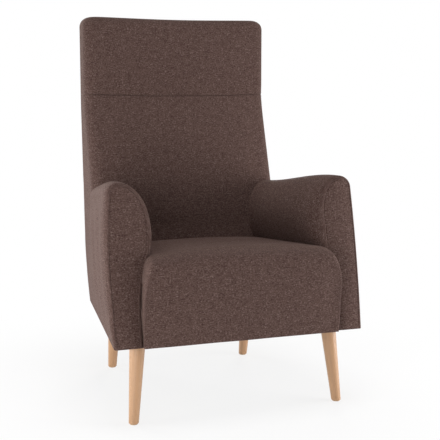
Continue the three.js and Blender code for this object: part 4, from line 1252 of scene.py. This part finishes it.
def leg_skin(sizes, foot, top, sides):
    """A turned leg: level rings whose centre moves evenly from foot to top and whose radius grows
    with it, drawn out along the rake as a slanted round bar is when cut level. A quarter circle
    rounds the foot's edge, and a bore at each end takes the glide's pin and the bolt."""
    foot, top = np.array(foot), np.array(top)
    turn = quarter(6)
    small = sizes.foot_round
    length_z = top[2] - foot[2]
    straight = mix(small, length_z, spread((1, 40))[1:])
    rise = np.concatenate([small * (1 - np.cos(turn)), straight])
    radius = mix(sizes.foot_radius, sizes.top_radius, rise / length_z)
    radius[: len(turn)] -= small * (1 - np.sin(turn))
    pin_top, bolt_foot = PIN_TOP - foot[2], length_z - BOLT_DEPTH
    rise = np.concatenate([[pin_top, pin_top, 0], rise, [length_z, bolt_foot, bolt_foot]])
    radius = np.concatenate([[0, PIN_BORE, PIN_BORE], radius, [BOLT_BORE, BOLT_BORE, 0]])
    share = rise / length_z
    centre = foot + (top - foot) * share[:, None]
    centre[:3, :2] = foot[:2]
    centre[-3:, :2] = top[:2]
    rake = top[:2] - foot[:2]
    slope = np.linalg.norm(rake) / length_z
    along = rake / max(np.linalg.norm(rake), 1e-9)
    longer = np.where((radius > BOLT_BORE) & (share >= 0), math.hypot(1, slope), 1)
    angle = np.linspace(0, 2 * math.pi, sides + 1)
    across, forth = np.cos(angle), np.sin(angle)
    level = np.array([-along[1], along[0]])
    spot = centre[:, None, :2] + radius[:, None, None] * (
        across[None, :, None] * level + (forth[None, :] * longer[:, None])[..., None] * along
    )
    height = np.repeat(centre[:, None, 2:], sides + 1, 1)
    skin = Skin()
    points = np.concatenate([spot, height], -1)
    points[:, -1] = points[:, 0]
    skin.patch(points)
    return skin


def middle(box):
    """The x and y of the middle of a box."""
    low, high = box
    return [(low[axis] + high[axis]) / 2 for axis in (0, 1)]


class CHAIR_OT_legs(Operator):
    """Make the four turned legs"""

    bl_idname = "chair.legs"
    bl_label = "Legs"

    def execute(self, context):
        sizes = context.scene.chair_legs
        for word in CORNERS:
            low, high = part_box(word + "_leg")
            foot = [*middle(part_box(word + "_glide")), low[2]]
            top = [*middle(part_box(word + "_leg_bolt")), high[2]]
            piece = leg_skin(sizes, foot, top, sizes.sides).object(word + "_turned_leg")
            points = read_points(piece.data)
            share = (points[:, 2:] - foot[2]) / (top[2] - foot[2])
            grain = points - (np.array(foot) * (1 - share) + np.array(top) * share) * [1, 1, 0]
            grain += np.array([0.1, 0, 0.4]) * CORNERS.index(word)
            layer = piece.data.attributes.new("grain", "FLOAT_VECTOR", "POINT")
            layer.data.foreach_set("vector", grain.ravel())
            settle(piece, "beech_legs", word + "_leg")
        return {"FINISHED"}


# Frame, fixings and stage


class CHAIR_OT_frame_finishes(Operator):
    """Give every solid that stays its procedural finish"""

    bl_idname = "chair.frame_finishes"
    bl_label = "Frame finishes"

    def execute(self, context):
        words = (
            ("webbing", "elastic_webbing"),
            ("dust_cover", "dust_lining"),
            ("plate", "zinc_steel"),
            ("bolt", "zinc_steel"),
            ("nut", "zinc_steel"),
            ("glide", "nylon_glides"),
            ("board", "fibreboard"),
            ("cover", "upholstery_fabric"),
            ("panel", "upholstery_fabric"),
            ("foam", "foam_filling"),
            ("leg", "beech_legs"),
        )
        for name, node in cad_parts.items():
            slot = next((slot for word, slot in words if word in name), "frame_timber")
            for place in node.material_slots:
                place.material = finish_for(slot)
        return {"FINISHED"}


# Each soft lamp: degrees clockwise from the chair's front, degrees up, distance, the height that it
# points at, its size and its power.
LAMPS = {
    "right": (-90, 0, 1.7, 0.4, 1.1, 15.5),
    "front_right": (-40, 0, 1.7, 0.4, 1.1, 10.5),
    "front_left": (65, 0, 1.7, 0.45, 1.1, 24.0),
    "top": (0, 85, 3.2, 0.55, 1.2, 38.0),
    "rear_right": (-150, 4, 3.2, 0.55, 1.2, 36.0),
    "rear_left": (150, 4, 3.2, 0.55, 1.2, 50.0),
}

FLOOR = 9  # half the floor's width
# The camera's place and the degrees that it looks down and to the right, from the photograph.
CAMERA_PLACE, CAMERA_DOWN, CAMERA_RIGHT, LENS = (-0.9064, -2.6591, 0.8590), 7.54099, 19.7262, 79.85


def add_floor():
    """A pale floor that shows the chair's shadow and turns to plain white away from it."""
    mesh = bpy.data.meshes.new("floor")
    corners = [(-FLOOR, -FLOOR, 0), (FLOOR, -FLOOR, 0), (FLOOR, FLOOR, 0), (-FLOOR, FLOOR, 0)]
    mesh.from_pydata(corners, [], [(0, 1, 2, 3)])
    floor = add_object("floor", mesh)
    pale = Finish(bpy.data.materials.new("pale_floor"))
    place = pale.node("ShaderNodeTexCoord", {}, {}, 3)
    away = pale.node("ShaderNodeVectorMath", {"operation": "LENGTH"}, {0: place}, 1)
    share = pale.node(
        "ShaderNodeMapRange",
        {"interpolation_type": "SMOOTHSTEP"},
        {"Value": away, "From Min": 0.35, "From Max": 1.1, "To Min": 0.8},
    )
    matt = pale.node("ShaderNodeBsdfDiffuse", {}, {"Color": (0.95, 0.95, 0.95, 1)})
    glow = pale.node("ShaderNodeEmission", {}, {"Color": (1, 1, 1, 1), "Strength": 1.0})
    mixed = pale.node("ShaderNodeMixShader", {}, {0: pale.seen() * share, 1: matt, 2: glow})
    pale.node("ShaderNodeOutputMaterial", {}, {"Surface": mixed})
    mesh.materials.append(pale.owner)


def add_world(level):
    """A plain white world to the camera and in gloss, and a soft grey light on the chair."""
    world = bpy.data.worlds.new("studio")
    bpy.context.scene.world = world
    sky = Finish(world)
    strength = mix(level, 1, sky.seen())
    back = sky.node("ShaderNodeBackground", {}, {"Color": (1, 1, 1, 1), "Strength": strength})
    sky.node("ShaderNodeOutputWorld", {}, {"Surface": back})


def add_lamp(name, turn, rise, distance, height, size, power):
    """A soft square lamp that the camera doesn't see."""
    lamp = bpy.data.lights.new(name, "AREA")
    lamp.size, lamp.energy = size, power
    holder = add_object(name, lamp)
    turn, rise = math.radians(turn), math.radians(rise)
    away = Vector((math.sin(turn) * math.cos(rise), -math.cos(turn) * math.cos(rise), math.sin(rise)))
    holder.location = Vector((0, 0, height)) + away * distance
    holder.rotation_euler = away.to_track_quat("Z", "Y").to_euler()
    holder.visible_camera = False


def add_camera():
    """The camera at the photograph's place, level and unshifted."""
    lens = bpy.data.cameras.new("camera")
    lens.lens, lens.sensor_width = LENS, 36
    camera = add_object("camera", lens)
    camera.location = CAMERA_PLACE
    angles = (90 - CAMERA_DOWN, 0, -CAMERA_RIGHT)
    camera.rotation_euler = Euler([math.radians(angle) for angle in angles])
    bpy.context.scene.camera = camera


class CHAIR_OT_stage(Operator):
    """Set up the pale floor, the soft lamps and the camera"""

    bl_idname = "chair.stage"
    bl_label = "Stage"

    def execute(self, context):
        context.scene.view_settings.view_transform = "Standard"
        add_floor()
        add_world(0.15)
        for word, values in LAMPS.items():
            add_lamp(word + "_lamp", *values)
        add_camera()
        return {"FINISHED"}


PIECES = (
    CHAIR_OT_stage,
    CHAIR_OT_frame_finishes,
    CHAIR_OT_seat_padding,
    CHAIR_OT_back_padding,
    CHAIR_OT_outside_back,
    CHAIR_OT_arm_padding,
    CHAIR_OT_side_panels,
    CHAIR_OT_legs,
)
GROUPS = {
    "chair_sizes": ChairSizes,
    "chair_soft": SoftSizes,
    "chair_legs": LegSizes,
    "chair_colours": ChairColours,
}


class CHAIR_PT_panel(Panel):
    """Lists the chair's pieces, sizes and colours"""

    bl_idname = "CHAIR_PT_panel"
    bl_label = "Fireside chair"
    bl_space_type = "VIEW_3D"
    bl_region_type = "UI"
    bl_category = "Chair"

    def draw(self, context):
        column = self.layout.column()
        for piece in PIECES:
            column.operator(piece.bl_idname)
        for name, group in GROUPS.items():
            box = self.layout.box()
            box.label(text=group.__doc__)
            for size in group.__annotations__:
                box.prop(getattr(context.scene, name), size)


def register():
    for kind in (*GROUPS.values(), *PIECES, CHAIR_PT_panel):
        bpy.utils.register_class(kind)
    for name, group in GROUPS.items():
        setattr(bpy.types.Scene, name, PointerProperty(type=group))


def unregister():
    for name in GROUPS:
        delattr(bpy.types.Scene, name)
    for kind in reversed((*GROUPS.values(), *PIECES, CHAIR_PT_panel)):
        bpy.utils.unregister_class(kind)


def main():
    register()
    bpy.ops.chair.stage()
    bpy.ops.chair.frame_finishes()
    bpy.ops.chair.seat_padding()
    bpy.ops.chair.back_padding()
    bpy.ops.chair.outside_back()
    bpy.ops.chair.arm_padding()
    bpy.ops.chair.side_panels()
    bpy.ops.chair.legs()


if __name__ == "__main__":
    main()
